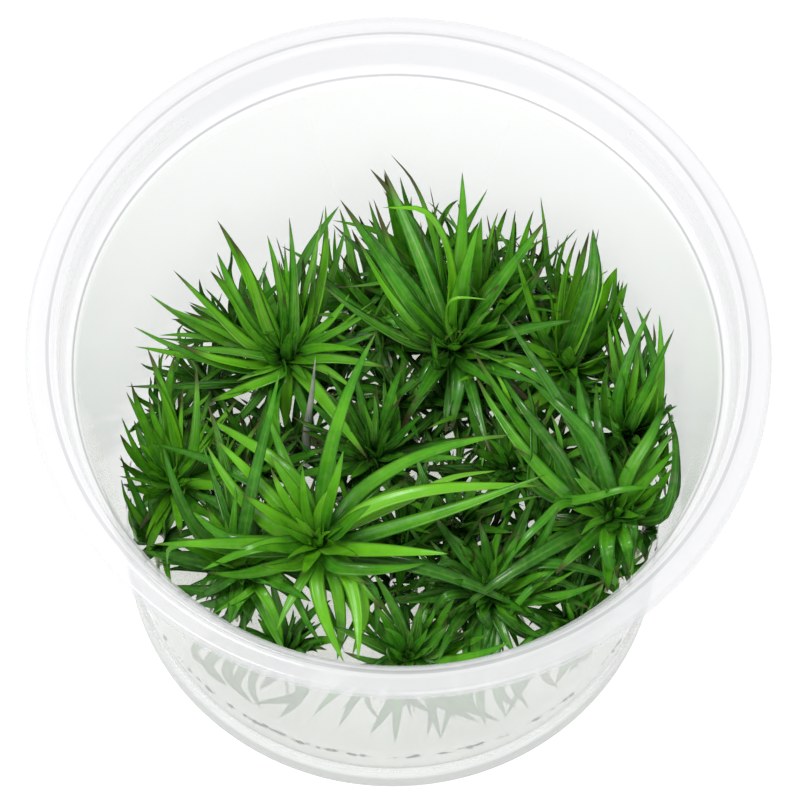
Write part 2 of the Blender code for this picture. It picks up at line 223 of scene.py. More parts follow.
# Cup: one closed wall, turned about the middle
cupShape = {
    "turnSteps": 192,
    "arcSteps": 5,
    "corners": [  # radius, height and rounding in millimetres, and how dark the painted shade line along the edge is
        (0, 0, 0), (38.3, 0, 0), (38.6, 0.4, 0.3, 0.3), (38.6, 6.2, 0.5), (38.0, 7.1, 0.8, 0.5),
        (44.1, 61.0, 2.5), (45.8, 62.3, 0.9), (46.1, 65.4, 0.5), (49.3, 65.4, 0.4), (50.0, 66.0, 0.5, 0.55),
        (50.0, 67.2, 0.5), (49.5, 67.7, 0.4, 0.15), (47.6, 67.65, 0.3), (46.95, 68.0, 0.6, 0.8),
        (46.3, 68.0, 0.3, 0.1), (45.7, 67.4, 0.6), (44.9, 62.4, 0.5), (44.35, 61.75, 0.2),
        (43.76, 61.6, 0.5, 1.0), (43.4, 60.9, 0.4, 0.2), (43.2, 60.0, 0.6), (37.4, 4.4, 1.8),
        (36.2, 2.2, 1.4), (0, 2.2, 0),
    ],
}
plasticLook = {
    "wallMilk": (0.79, 0.8, 0.79),
    "wallThrough": (0.89, 0.9, 0.89),
    "wallClear": (0.96, 0.966, 0.963),
    "wallShare": (0.2, 0.38),  # milkiness seen straight on, and along the wall
    "rimMilk": (0.7, 0.698, 0.71),
    "rimThrough": (0.765, 0.763, 0.775),
    "rimClear": (0.955, 0.955, 0.96),
    "rimShare": (0.48, 0.12),
    "rimFrom": 61.35 * mm,
    "rimBlend": 0.2 * mm,
    "footMilk": (0.5, 0.52, 0.5),
    "footThrough": (0.5, 0.52, 0.5),
    "footShare": 0.35,
    "footTo": 4.2 * mm,
    "footBlend": 0.9 * mm,
    "footRadius": (37.0 * mm, 37.6 * mm),
    "paintedEdgeShade": (0.15, 0.17, 0.17),
    "paintedEdgeShadeShare": 0.8,
    "cloudScale": 55,
    "cloudTint": 0.05,
    "throughShare": 0.5,
    "roughness": 0.3,
    "glossRoughness": 0.14,
    "refraction": 1.42,
    "gloss": 0.5,
}


def plasticMaterial(look):
    material, tree = newMaterial("milkyPlastic")
    radius, height = placeParts(tree)
    rimFrom, footTo = look["rimFrom"], look["footTo"]
    rim = spread(tree, height, rimFrom - look["rimBlend"], rimFrom + look["rimBlend"])
    foot = spread(tree, height, footTo - look["footBlend"], footTo + look["footBlend"], 1.0, 0.0)
    foot = calc(tree, "MULTIPLY", foot, spread(tree, radius, *look["footRadius"]))
    # The line attribute paints shade as a dark grey line along the cup's edges and grooves, and under the ledge
    line = calc(tree, "MULTIPLY", attribute(tree, "line"), look["paintedEdgeShadeShare"])
    cloud = spread(tree, noise(tree, look["cloudScale"], 4), 0.3, 0.7, 0.0, look["cloudTint"])
    layers = (rim, "rimMilk"), (foot, "footMilk"), (cloud, "rimMilk"), (line, "paintedEdgeShade")
    tint = layered(tree, look, "wallMilk", layers)
    body = addNode(tree, "BsdfPrincipled", None, Base_Color=tint, Roughness=look["roughness"])
    backlit = layered(tree, look, "wallThrough", ((rim, "rimThrough"), (foot, "footThrough"), (line, "paintedEdgeShade")))
    through = addNode(tree, "BsdfTranslucent", None, Color=backlit)
    milk = mixShader(tree, look["throughShare"], body.outputs[0], through.outputs[0])
    facing = addNode(tree, "LayerWeight", None, Blend=0.5).outputs["Facing"]
    wallShare = spread(tree, facing, 0.0, 1.0, *look["wallShare"], smooth=False)
    rimShare = spread(tree, facing, 0.0, 1.0, *look["rimShare"], smooth=False)
    share = spread(tree, rim, 0.0, 1.0, wallShare, rimShare, smooth=False)
    share = calc(tree, "ADD", share, calc(tree, "MULTIPLY", foot, look["footShare"]))
    share = calc(tree, "MAXIMUM", share, line)
    clear = addNode(tree, "BsdfTransparent", None, Color=mixColour(tree, rim, look["wallClear"], look["rimClear"]))
    wall = mixShader(tree, share, clear.outputs[0], milk)
    gloss = addNode(tree, "BsdfGlossy", None, Color=(1, 1, 1, 1), Roughness=look["glossRoughness"])
    shine = outsideShine(tree, look["refraction"], look["gloss"])
    # No gloss where the painted shade line lies, so the line stays dark
    shine = calc(tree, "MULTIPLY", shine, calc(tree, "SUBTRACT", 1.0, line))
    finish(tree, mixShader(tree, shine, wall, gloss.outputs[0]))
    return material


def makeCup():
    outline = roundedOutline(cupShape["corners"], cupShape["arcSteps"])
    points, faces, lines = turnedBody(outline, cupShape["turnSteps"])
    cup = meshObject("cupShell", points, faces, plasticMaterial(plasticLook), {"line": lines})
    place(cup, "milky_plastic", "cup")
    print("stage: cup,", len(cup.data.polygons), "faces")


# Gel: an uneven surface between thin edges that climb the wall. Small dark flecks sit on the wall along its edge.
gelShape = {
    "turnSteps": 160,
    "arcSteps": 4,
    "ringStep": 1.6,
    "surface": 11.35,
    "swell": 0.22,
    "waves": ((420, 1.3), (380, 0.4)),  # turns a metre and start, across and along
    "crossWave": (900, 0.5),
    "waveShare": 0.66,
    "waveRoom": (36.5, 11.2),  # within this radius and above this height
    "corners": [  # radius, height and rounding
        (0, 2.5, 0), (36.0, 2.5, 0), (37.0, 4.2, 1.2), (37.4, 11.7, 0.2), (37.36, 11.95, 0.1), (36.6, 11.5, 0.5),
    ],
}
edgeFleckShape = {
    "seed": 31,
    "count": 260,
    "radius": 38.27,  # of the wall at this height, and how far it widens
    "level": 11.75,
    "widening": 0.104,
    "rise": (11.2, 12.3),
    "tilt": 0.25,
    "bigShare": 0.3,
    "length": ((0.4, 1.1), (0.9, 2.2)),  # along the wall, small and big
    "height": ((0.12, 0.28), (0.25, 0.5)),
    "dark": (0.3, 0.9),
    "unevenness": (0.7, 1.2),
    "sides": 6,
}
gelLook = {
    "body": (0.97, 0.965, 0.9),
    "cloudy": 0.95,
    "cloudScale": 90,
    "clear": (0.985, 0.985, 0.965),
    "edgeFleck": (0.03, 0.028, 0.015),
    "milk": 0.1,
    "milkCloud": (-0.05, 0.08),
    "waveScale": 190,
    "waveStrength": 0.35,
    "waveDepth": 1.2 * mm,
    "roughness": 0.25,
    "glossRoughness": 0.05,
    "refraction": 1.34,
}


def gelMaterial(look):
    material, tree = newMaterial("clearGel")
    cloud = noise(tree, look["cloudScale"], 4)
    wet = bumped(tree, noise(tree, look["waveScale"], 3), look["waveStrength"], look["waveDepth"])
    edgeFleck = attribute(tree, "line")
    tint = mixColour(tree, cloud, look["body"], tuple(look["cloudy"] * c for c in look["body"]))
    tint = mixColour(tree, edgeFleck, tint, look["edgeFleck"])
    body = addNode(tree, "BsdfPrincipled", None, Base_Color=tint, Roughness=look["roughness"], Normal=wet)
    share = calc(tree, "ADD", look["milk"], spread(tree, cloud, 0.35, 0.7, *look["milkCloud"]))
    share = calc(tree, "MAXIMUM", share, edgeFleck)
    clear = addNode(tree, "BsdfTransparent", None, Color=(*look["clear"], 1))
    jelly = mixShader(tree, share, clear.outputs[0], body.outputs[0])
    gloss = addNode(tree, "BsdfGlossy", None, Color=(1, 1, 1, 1), Roughness=look["glossRoughness"], Normal=wet)
    finish(tree, mixShader(tree, outsideShine(tree, look["refraction"]), jelly, gloss.outputs[0]))
    return material


def addEdgeFlecks(points, faces, lines):
    shape = edgeFleckShape
    sides = shape["sides"]
    chance = Chance(shape["seed"])
    for _ in range(shape["count"]):
        turn = chance.uniform(0, 2 * math.pi)
        out = Vector((math.cos(turn), math.sin(turn), 0))
        along = Vector((-out.y, out.x, chance.draw(shape["tilt"]))).normalized()
        up = out.cross(along)
        level = chance.draw(shape["rise"])
        middle = out * (shape["radius"] + shape["widening"] * (level - shape["level"])) + Vector((0, 0, level))
        big = int(chance.random() < shape["bigShare"])
        length, height = chance.draw(shape["length"][big]), chance.draw(shape["height"][big])
        dark = 1.0 if big else chance.draw(shape["dark"])
        first = len(points)
        for ring in range(1, 4):
            width = math.sin(math.pi * ring / 4) * chance.draw(shape["unevenness"])
            centre = middle + along * (length * (ring - 2) * 0.25)
            for k in range(sides):
                angle = 2 * math.pi * k / sides
                edge = up * math.sin(angle) + out * (0.5 * math.cos(angle))
                points.append((centre + edge * (height * width)) * mm)
        for way in (-0.5, 0.5):
            points.append((middle + along * (length * way)) * mm)
        joinRings(faces, first, 3, sides)
        last = first + 2 * sides
        faces.extend((first + (k + 1) % sides, first + k, last + sides) for k in range(sides))
        faces.extend((last + k, last + (k + 1) % sides, last + sides + 1) for k in range(sides))
        lines.extend([dark] * (3 * sides + 2))


def makeGel():
    shape = gelShape
    outline = roundedOutline(shape["corners"], shape["arcSteps"])
    radius = outline[-1][0] - shape["ringStep"]
    while radius > 1:
        outline.append((radius, shape["surface"], 0))
        radius -= shape["ringStep"]
    outline.append((0, shape["surface"], 0))
    points, faces, lines = turnedBody(outline, shape["turnSteps"])
    (turnsX, startX), (turnsY, startY) = shape["waves"]
    crossTurns, crossShare = shape["crossWave"]
    within, above = shape["waveRoom"]
    for index, (x, y, z) in enumerate(points):
        if z > above * mm and math.hypot(x, y) < within * mm:
            wave = math.sin(x * turnsX + startX) * math.sin(y * turnsY + startY)
            wave += crossShare * math.sin((x - y) * crossTurns)
            points[index] = (x, y, z + shape["swell"] * mm * wave * shape["waveShare"])
    addEdgeFlecks(points, faces, lines)
    gel = meshObject("gelDisc", points, faces, gelMaterial(gelLook), {"line": lines})
    place(gel, "clear_gel", "gel")
    print("stage: gel,", len(gel.data.polygons), "faces")


# Leaves: the solids' own leaves are followed from tip to crown


def weldedMesh(node):
    mesh = node.data
    mesh.calc_loop_triangles()
    flat = np.empty(len(mesh.vertices) * 3)
    mesh.vertices.foreach_get("co", flat)
    world = np.array(node.matrix_world)
    spots = flat.reshape(-1, 3) @ world[:3, :3].T + world[:3, 3]
    rounded = np.round(spots * 1e6).astype(np.int64)
    _, first, index = np.unique(rounded, axis=0, return_index=True, return_inverse=True)
    index = index.reshape(-1)
    near = [set() for _ in first]
    for triangle in mesh.loop_triangles:
        a, b, c = (int(index[v]) for v in triangle.vertices)
        for p, q in ((a, b), (b, c), (c, a)):
            if p != q:
                near[p].add(q)
                near[q].add(p)
    return [Vector(spots[i]) for i in first], near


def isLoop(ring, near):
    return len(ring) == 4 and all(len(near[v] & ring) >= 2 for v in ring)


def readRing(ring, points, lastSide):
    spots = [points[v] for v in ring]
    pairs = [(a, b) for i, a in enumerate(spots) for b in spots[i + 1:]]
    left, right = max(pairs, key=lambda pair: (pair[0] - pair[1]).length)
    middle = (left + right) / 2
    high, low = sorted((s for s in spots if s is not left and s is not right), key=lambda s: (s - middle).length)
    side = right - left
    if lastSide is not None and side.dot(lastSide) < 0:
        side = -side
    return high, side, (high - low).normalized()


def tracedLeaves(node):
    points, near = weldedMesh(node)
    leaves = []
    for tip, around in enumerate(near):
        if not isLoop(around, near):
            continue
        rings = [set(around)]
        known = {tip} | around
        while True:
            following = set().union(*(near[v] for v in rings[-1])) - known
            if not isLoop(following, near):
                break
            rings.append(following)
            known |= following
        if len(rings) < 3:
            continue
        side = None
        stations = []
        for ring in rings[:-1]:
            middle, side, up = readRing(ring, points, side)
            stations.append((middle, side, up))
        start = sum((points[v] for v in rings[-1]), Vector()) / 4
        stations.reverse()
        leaves.append({
            "spine": [start] + [s[0] for s in stations] + [points[tip]],
            "sides": [s[1].normalized() for s in stations],
            "ups": [s[2] for s in stations],
            "width": max(s[1].length for s in stations),
        })
    return leaves


def leafLength(leaf):
    return sum((b - a).length for a, b in zip(leaf["spine"], leaf["spine"][1:]))


def splinePoint(spine, along):
    lengths = [0.0]
    for a, b in zip(spine, spine[1:]):
        lengths.append(lengths[-1] + (b - a).length)
    target = along * lengths[-1]
    index = min(max(sum(1 for value in lengths if value <= target) - 1, 0), len(spine) - 2)
    step = lengths[index + 1] - lengths[index]
    u = (target - lengths[index]) / step

    def slope(i):
        low = max(i - 1, 0)
        high = min(i + 1, len(spine) - 1)
        return (spine[high] - spine[low]) / (lengths[high] - lengths[low])

    a, b = spine[index], spine[index + 1]
    return (a * (2 * u**3 - 3 * u**2 + 1) + slope(index) * (step * (u**3 - 2 * u**2 + u))
            + b * (3 * u**2 - 2 * u**3) + slope(index + 1) * (step * (u**3 - u**2)))


def blended(vectors, along):
    spot = min(max(along, 0.0), 0.999) * (len(vectors) - 1)
    index = int(spot)
    if len(vectors) == 1:
        return vectors[0]
    return vectors[index].lerp(vectors[index + 1], spot - index).normalized()


bladeShape = {
    "stations": 18,
    "crowding": 0.92,  # stations stand a little closer at the tip
    "thickness": 0.24 * mm,  # at the middle rib
    "thinning": 0.75,  # of it is gone at the tip
    "underside": ((3, 0.55, 0.8), (2, 0.0, 1.25), (1, -0.55, 0.8)),  # point above, place across, share of it
    "fold": 0.17,  # rise of the edges, as a share of the width
    "foldEasing": 0.35,
    "foldPower": 1.4,
    "across": (-1.0, -0.55, 0.0, 0.55, 1.0),
    "tipPower": 2.2,
    "tipSharpness": 0.88,
    "baseWidth": 0.82,
    "baseReach": 0.22,
    "waves": 5.2,
}


class LeafMesh:
    def __init__(self):
        self.points = []
        self.faces = []
        self.values = {"along": [], "across": [], "tone": [], "age": [], "stripeAndGlint": []}

    def addPoint(self, spot, along, across, leafValues):
        self.points.append(spot)
        for key, value in zip(self.values, (along, across, *leafValues)):
            self.values[key].append(value)

    def addBlade(self, leaf, tone, age, twist=0.0, wave=0.0, fold=1.0, bend=0.0):
        shape = bladeShape
        spine = leaf["spine"]
        tipSpot = spine[-1]
        hint = 0.5 + 0.5 * math.sin(tipSpot.x * 9100 + tipSpot.y * 5300)  # differs from leaf to leaf
        leafValues = (tone, age, leaf.get("stripeAndGlint", 1.5 * hint**3))
        reach = (tipSpot - spine[0]).length
        first = len(self.points)
        count = shape["stations"]
        ringSize = len(shape["across"]) + len(shape["underside"])
        for station in range(count):
            along = (station / count) ** shape["crowding"]
            middle = splinePoint(spine, along)
            ahead = splinePoint(spine, min(along + 0.02, 1.0)) - splinePoint(spine, max(along - 0.02, 0.0))
            ahead.normalize()
            side = blended(leaf["sides"], along)
            side = (side - ahead * side.dot(ahead)).normalized()
            side = Matrix.Rotation(twist * along, 3, ahead) @ side
            up = ahead.cross(side)
            if up.dot(blended(leaf["ups"], along)) < 0:
                up = -up
            half = 0.5 * leaf["width"] * (1 - along ** shape["tipPower"]) ** shape["tipSharpness"]
            half *= shape["baseWidth"] + (1 - shape["baseWidth"]) * min(along / shape["baseReach"], 1.0)
            sway = wave * math.sin(along * shape["waves"]) * half + bend * reach * along * (1 - along)
            middle = middle + side * sway
            thick = shape["thickness"] * (1 - shape["thinning"] * along)
            rise = shape["fold"] * fold * 2 * half * (1 - shape["foldEasing"] * along)
            top = [middle + side * (half * x) + up * (rise * abs(x) ** shape["foldPower"]) for x in shape["across"]]
            for spot, x in zip(top, shape["across"]):
                self.addPoint(spot, along, x, leafValues)
            for k, x, share in shape["underside"]:
                self.addPoint(top[k] - up * (thick * share), along, x, leafValues)
        joinRings(self.faces, first, count, ringSize, True)
        tip = len(self.points)
        self.addPoint(tipSpot, 1.0, 0.0, leafValues)
        last = first + (count - 1) * ringSize
        for i in range(ringSize):
            self.faces.append((last + i, tip, last + (i + 1) % ringSize))
        self.faces.append(tuple(first + i for i in range(ringSize)))

    def make(self, name, material):
        return meshObject(name, self.points, self.faces, material, self.values)


leafLook = {
    "dark": (0.021, 0.093, 0.01),
    "middle": (0.044, 0.25, 0.011),
    "bright": (0.16, 0.52, 0.013),
    "pale": (0.34, 0.55, 0.14),
    "brown": (0.085, 0.06, 0.03),
    "glow": (0.2, 0.46, 0.015),
    "glowTint": (1.0, 1.0, 0.45),
    "cloudScale": 160,
    "fineScale": 900,
    "cloudLift": (-0.14, 0.14),
    "paintedShadeReach": (12 * mm, 30 * mm),  # painted shade: darker below, among the crowns
    "paintedLowShade": (-0.3, 0.06),
    "paintedBaseShade": (-0.2, 0.06),
    "ribShare": 0.28,
    "veinsAcross": 5.0,
    "veinScale": 1.6,
    "veinShare": (0.1, 0.9),
    "marginShare": 0.35,
    "fineShare": 0.14,
    "oldTip": 0.3,
    "tipBrown": 0.9,
    "baseGreen": 0.3,
    "bump": (0.35, 0.08 * mm),
    "through": 0.32,
    "roughness": (0.14, 0.36),
    "gloss": 0.3,
}


def leafMaterial(look):
    material, tree = newMaterial("leafBlade")
    along, across, tone, age, stripeAndGlint = (attribute(tree, key) for key in ("along", "across", "tone", "age", "stripeAndGlint"))
    cloud = noise(tree, look["cloudScale"], 3)
    fine = noise(tree, look["fineScale"], 2)
    _, height = placeParts(tree)
    lift = calc(tree, "ADD", tone, spread(tree, cloud, 0.3, 0.7, *look["cloudLift"]))
    # Painted shade: leaves darken lower down and towards their bases, in the crowded crowns
    lift = calc(tree, "ADD", lift, spread(tree, height, *look["paintedShadeReach"], *look["paintedLowShade"]))
    lift = calc(tree, "ADD", lift, spread(tree, along, 0.0, 0.45, *look["paintedBaseShade"]))
    low = mixColour(tree, spread(tree, lift, 0.0, 0.5, smooth=False), look["dark"], look["middle"])
    colour = mixColour(tree, spread(tree, lift, 0.45, 1.0, smooth=False), low, look["bright"])
    distance = calc(tree, "ABSOLUTE", across)
    rib = calc(tree, "MULTIPLY", spread(tree, distance, 0.0, 0.22, 1.0, 0.0), look["ribShare"])
    streaks = addNode(tree, "CombineXYZ", None, X=calc(tree, "MULTIPLY", across, look["veinsAcross"]), Y=along,
                      Z=calc(tree, "MULTIPLY", stripeAndGlint, 31.0))  # no two leaves streaked alike
    veins = noise(tree, look["veinScale"], 2, streaks.outputs[0])
    # The pale streaks along the veins are partly the leaves' own stripes and partly a painted glint on the wet veins
    stripeAndGlintShare = spread(tree, stripeAndGlint, 0.3, 1.6, *look["veinShare"], smooth=False)
    tipStart = calc(tree, "SUBTRACT", 1.0, calc(tree, "MULTIPLY", age, look["oldTip"]))
    colour = layered(tree, look, colour, (
        (rib, "bright"),
        (calc(tree, "MULTIPLY", spread(tree, veins, 0.5, 0.72), stripeAndGlintShare), "pale"),
        (spread(tree, distance, 0.82, 1.0, 0.0, look["marginShare"]), "dark"),
        (spread(tree, fine, 0.45, 0.75, 0.0, look["fineShare"]), "pale"),
        (spread(tree, calc(tree, "SUBTRACT", along, tipStart), -0.06, 0.12, 0.0, look["tipBrown"]), "brown"),
        (spread(tree, along, 0.0, 0.12, look["baseGreen"], 0.0), "middle"),
    ))
    relief = calc(tree, "ADD", calc(tree, "MULTIPLY", veins, 0.5), calc(tree, "MULTIPLY", fine, 0.8))
    bump = bumped(tree, relief, *look["bump"])
    wet = spread(tree, cloud, 0.3, 0.7, *look["roughness"])
    body = addNode(tree, "BsdfPrincipled", None, Base_Color=colour, Roughness=wet, Normal=bump,
                   Specular_IOR_Level=look["gloss"])
    glow = mixColour(tree, 1.0, colour, look["glowTint"], "MULTIPLY")
    glow = mixColour(tree, 0.5, glow, look["glow"])
    through = addNode(tree, "BsdfTranslucent", None, Color=glow, Normal=bump)
    finish(tree, mixShader(tree, look["through"], body.outputs[0], through.outputs[0]))
    return material


rootLook = {
    "white": (0.42, 0.45, 0.28),
    "green": (0.07, 0.14, 0.03),
    "grainScale": 500,
    "bump": (0.4, 0.1 * mm),
    "roughness": 0.5,
}


def rootMaterial(look):
    material, tree = newMaterial("rootFibre")
    grain = noise(tree, look["grainScale"], 3)
    colour = mixColour(tree, spread(tree, grain, 0.35, 0.65), look["white"], look["green"])
    bump = bumped(tree, grain, *look["bump"])
    body = addNode(tree, "BsdfPrincipled", None, Base_Color=colour, Roughness=look["roughness"], Normal=bump)
    finish(tree, body.outputs[0])
    return material


# The room that leaves are kept in: inside the wall, above the gel and below the lip
cupRoom = {
    "footRadius": 36.2 * mm,
    "slope": 0.1134,
    "footHeight": 7.1 * mm,
    "gelTop": 11.9 * mm,
    "overGel": 0.4 * mm,
    "ceiling": 59.5 * mm,
}


def roomRadius(z):
    return cupRoom["footRadius"] + cupRoom["slope"] * (z - cupRoom["footHeight"])


def keptInside(spot, spare=0.0):
    spot = spot.copy()
    spot.z = min(max(spot.z, cupRoom["gelTop"] + cupRoom["overGel"]), cupRoom["ceiling"])
    room = roomRadius(spot.z) - spare
    over = math.hypot(spot.x, spot.y) - room
    if over > 0:
        share = room / math.hypot(spot.x, spot.y)
        spot.x *= share
        spot.y *= share
        spot.z = min(spot.z + 0.5 * over, cupRoom["ceiling"])
    return spot


# One dictionary for each plantlet: tone from dark 0 to bright 1, how far its tips have browned, how many leaves
# grow between the solid's own leaves, in the heart and in the old skirt below, side shoots as place and reach, and
# single leaves as width, tone and the points of the spine, with the stronger stripes by their number in the list.
# Leaves that hang by the near wall start at one place, and give width and x, y at the heights in growth. All lengths
# are in millimetres.
plantletLooks = {}
plantletLooks["front_left"] = dict(
    seed=11, tone=0.72, age=0.15, between=3, heart=6, skirt=6,
    stripes={10: 1.6},
    leaves=[
        (2.0, 0.95, (-10, -15, 31.5), (-5.5, -18.7, 33), (-3.4, -23, 29), (-4.9, -26.3, 20)),
        (1.9, 0.7, (-10, -15.5, 31), (-7.6, -20, 31), (-6.6, -24, 26), (-7, -26.3, 18)),
        (2.2, 0.3, (-10, -15.1, 32), (-14.9, -10.6, 36), (-19.6, -7.8, 37), (-25.5, -4.4, 36), (-34.1, 0.3, 31)),
        (2.4, 0.65, (-10.1, -14.4, 33), (-13.2, -8.7, 39), (-16.8, -5.5, 40), (-19.8, -3.5, 40), (-26.9, 2.5, 36)),
        (2.6, 0.42, (-10, -15.1, 32), (-15.8, -16.2, 35), (-22.7, -15.9, 36), (-28.2, -10.5, 33)),
        (2.2, 0.6, (-10.6, -14.5, 33), (-18.5, -17.5, 37), (-26.3, -19.6, 33)),
        (2.0, 0.55, (-10.6, -15.5, 32), (-21.5, -17, 34), (-26.8, -16, 34), (-30.6, -15.9, 32), (-31.2, -16.9, 27)),
        (1.1, 0.6, (-8.4, -17, 32), (-4.1, -18.8, 31), (-1, -21.4, 27), (1.6, -23.1, 22)),
        (1.2, 0.3, (-7.8, -15.8, 31), (-2.3, -20.5, 31), (-1.6, -23.4, 27), (-2, -25.8, 22)),
        (1.2, 0.5, (-9.8, -17.6, 28), (-6.9, -19.9, 29), (-3.8, -23.7, 26), (0.3, -25.3, 21)),
        (1.6, 1.0, (-8.6, -13.6, 33), (1, -9.7, 36), (7.8, -6.1, 37), (14.7, -3.7, 35)),
        (1.4, 0.55, (-8.6, -12.9, 33), (-0.6, -5.5, 36), (6.5, -1.6, 38), (16, 1.1, 36)),
        (1.5, 0.5, (-7.8, -14.7, 32), (1.1, -12.4, 35), (7.9, -9.3, 35), (10.8, -7.4, 33)),
        (2.6, 0.12, (-7.8, -16.3, 32), (3.4, -18.2, 34), (12.5, -20.3, 32), (19.4, -21.6, 27)),
    ],
)
plantletLooks["left_star"] = dict(
    seed=12, tone=0.38, age=0.2, between=10, heart=7, skirt=10,
    leaves=[
        (3.2, 0.35, (-21, -16.1, 28), (-16.2, -20, 32), (-10.9, -20.8, 26)),
        (1.8, 0.6, (-20.3, -17.2, 27), (-17.7, -21.7, 31), (-15.8, -24.3, 29), (-14.5, -26.3, 22)),
        (2.2, 0.25, (-21, -16.3, 27), (-22.6, -20.1, 31), (-27.2, -21.4, 26)),
        (1.3, 0.7, (-17.8, -18.4, 28), (-19.6, -21.8, 31), (-24.4, -23.5, 27)),
        (1.4, 0.6, (-18.6, -19.9, 28), (-20.7, -22.8, 30), (-21.8, -24.4, 26)),
        (3.0, 0.1, (-21, -16.3, 27), (-26.5, -16.9, 30), (-33, -14.7, 27)),
        (1.2, 0.4, (-14.7, -16.3, 26), (-11, -19.2, 28), (-8.2, -22.6, 26), (-6.1, -26.1, 21)),
        (1.3, 0.4, (-16, -18.6, 26), (-13.3, -21.1, 28), (-11.3, -24, 26), (-9, -26, 22)),
        (3.4, 0.1, (-21.1, -15.4, 27), (-22.3, -11.4, 31), (-25.5, -4.8, 33)),
        (2.8, 0.1, (-21.1, -15, 26), (-20.1, -11.2, 29), (-23.8, -8.9, 31), (-27.9, -6.2, 29)),
        (2.6, 0.2, (-19.7, -15.5, 25), (-24.3, -20.5, 28), (-30.4, -19.2, 26)),
        (2.2, 0.35, (-19.9, -16.1, 25), (-22.9, -21.5, 27), (-27.2, -20.3, 22)),
        (2.0, 0.3, (-19.7, -16.4, 24), (-21.4, -22.9, 26), (-24.7, -22.5, 21)),
        (2.4, 0.15, (-21.2, -14.2, 24), (-26.6, -16.2, 28), (-32.5, -15.8, 26)),
        (2.0, 0.25, (-19, -16.4, 23), (-19.6, -22.4, 25), (-21.3, -24.1, 20)),
        (2.0, 0.1, (-20.3, -15.6, 23), (-24.5, -17.5, 25), (-29.4, -19.7, 21)),
        (1.8, 0.15, (-19.4, -16.1, 22), (-22.4, -23, 24), (-22.7, -24.4, 19)),
    ],
)
plantletLooks["rear_left"] = dict(
    seed=13, tone=0.56, age=0.3, between=26, heart=9, skirt=12,
    shoots=[(-27, 14, 21, 14), (-32, 9, 20, 13), (-23, 22, 22, 15)],
    leaves=[
        (2.0, 0.9, (-16, 15.5, 27), (-15.8, 12.5, 27.5), (-15.7, 10.2, 24), (-15.9, 8.8, 18)),
    ],
)
plantletLooks["rear_middle"] = dict(
    seed=14, tone=0.4, age=0.4, between=34, heart=9, skirt=16,
    shoots=[(1, 13, 21, 14), (7, 12, 21, 13), (14, 11, 21, 14), (-1, 22, 24, 16)],
    stripes={3: 2.0},
    leaves=[
        (2.2, 0.98, (7.5, 18.5, 31), (6.5, 25, 43), (3, 28.5, 50), (-3, 28.5, 51)),
        (2.3, 0.5, (8.5, 18, 31), (9, 24, 40), (10.5, 29, 46)),
        (2.7, 0.36, (6.5, 17, 31), (0.5, 18.5, 34.5), (-6, 18, 32)),
        (0.9, 0.9, (8, 17, 31), (6.5, 18.4, 38), (7.6, 18.7, 43), (12.5, 19.2, 42)),
    ],
)
plantletLooks["rear_right"] = dict(
    seed=15, tone=0.64, age=0.35, between=22, heart=7, skirt=10,
    stripes={0: 2.0, 3: 0.5, 4: 3.0, 5: 3.0},
    leaves=[
        (2.6, 0.3, (25.4, 18, 27), (29.6, 19.5, 34), (31.8, 23.6, 40)),
        (2.0, 0.35, (23.9, 16.2, 27), (29.3, 19.9, 36), (30.3, 25.9, 40)),
        (1.8, 0.2, (24.2, 15.9, 27), (30, 21.5, 34), (32.4, 26.3, 37)),
        (4.2, 0.14, (24.1, 15.5, 30), (25.7, 17.4, 40), (26.8, 21.6, 46), (26.4, 27.4, 49)),
        (0.5, 1.0, (24.2, 15.2, 30.6), (26.9, 17.3, 41), (28, 19.8, 46), (27.9, 22.7, 48)),
        (0.4, 1.0, (24.3, 15, 30.4), (26.1, 16.4, 39.6), (27.3, 19.3, 45.4), (27.4, 23.1, 48.4)),
    ],
)
plantletLooks["right"] = dict(
    seed=16, tone=0.5, age=0.35, between=20, heart=8, skirt=10,
    shoots=[(34, 1, 25, 13), (31, 14, 25, 15), (35, 8, 25, 14)],
    leaves=[
        (1.8, 0.4, (32.4, 5.4, 28), (24.4, 7.8, 34), (17.8, 10.2, 38), (9.9, 13.7, 37)),
    ],
)
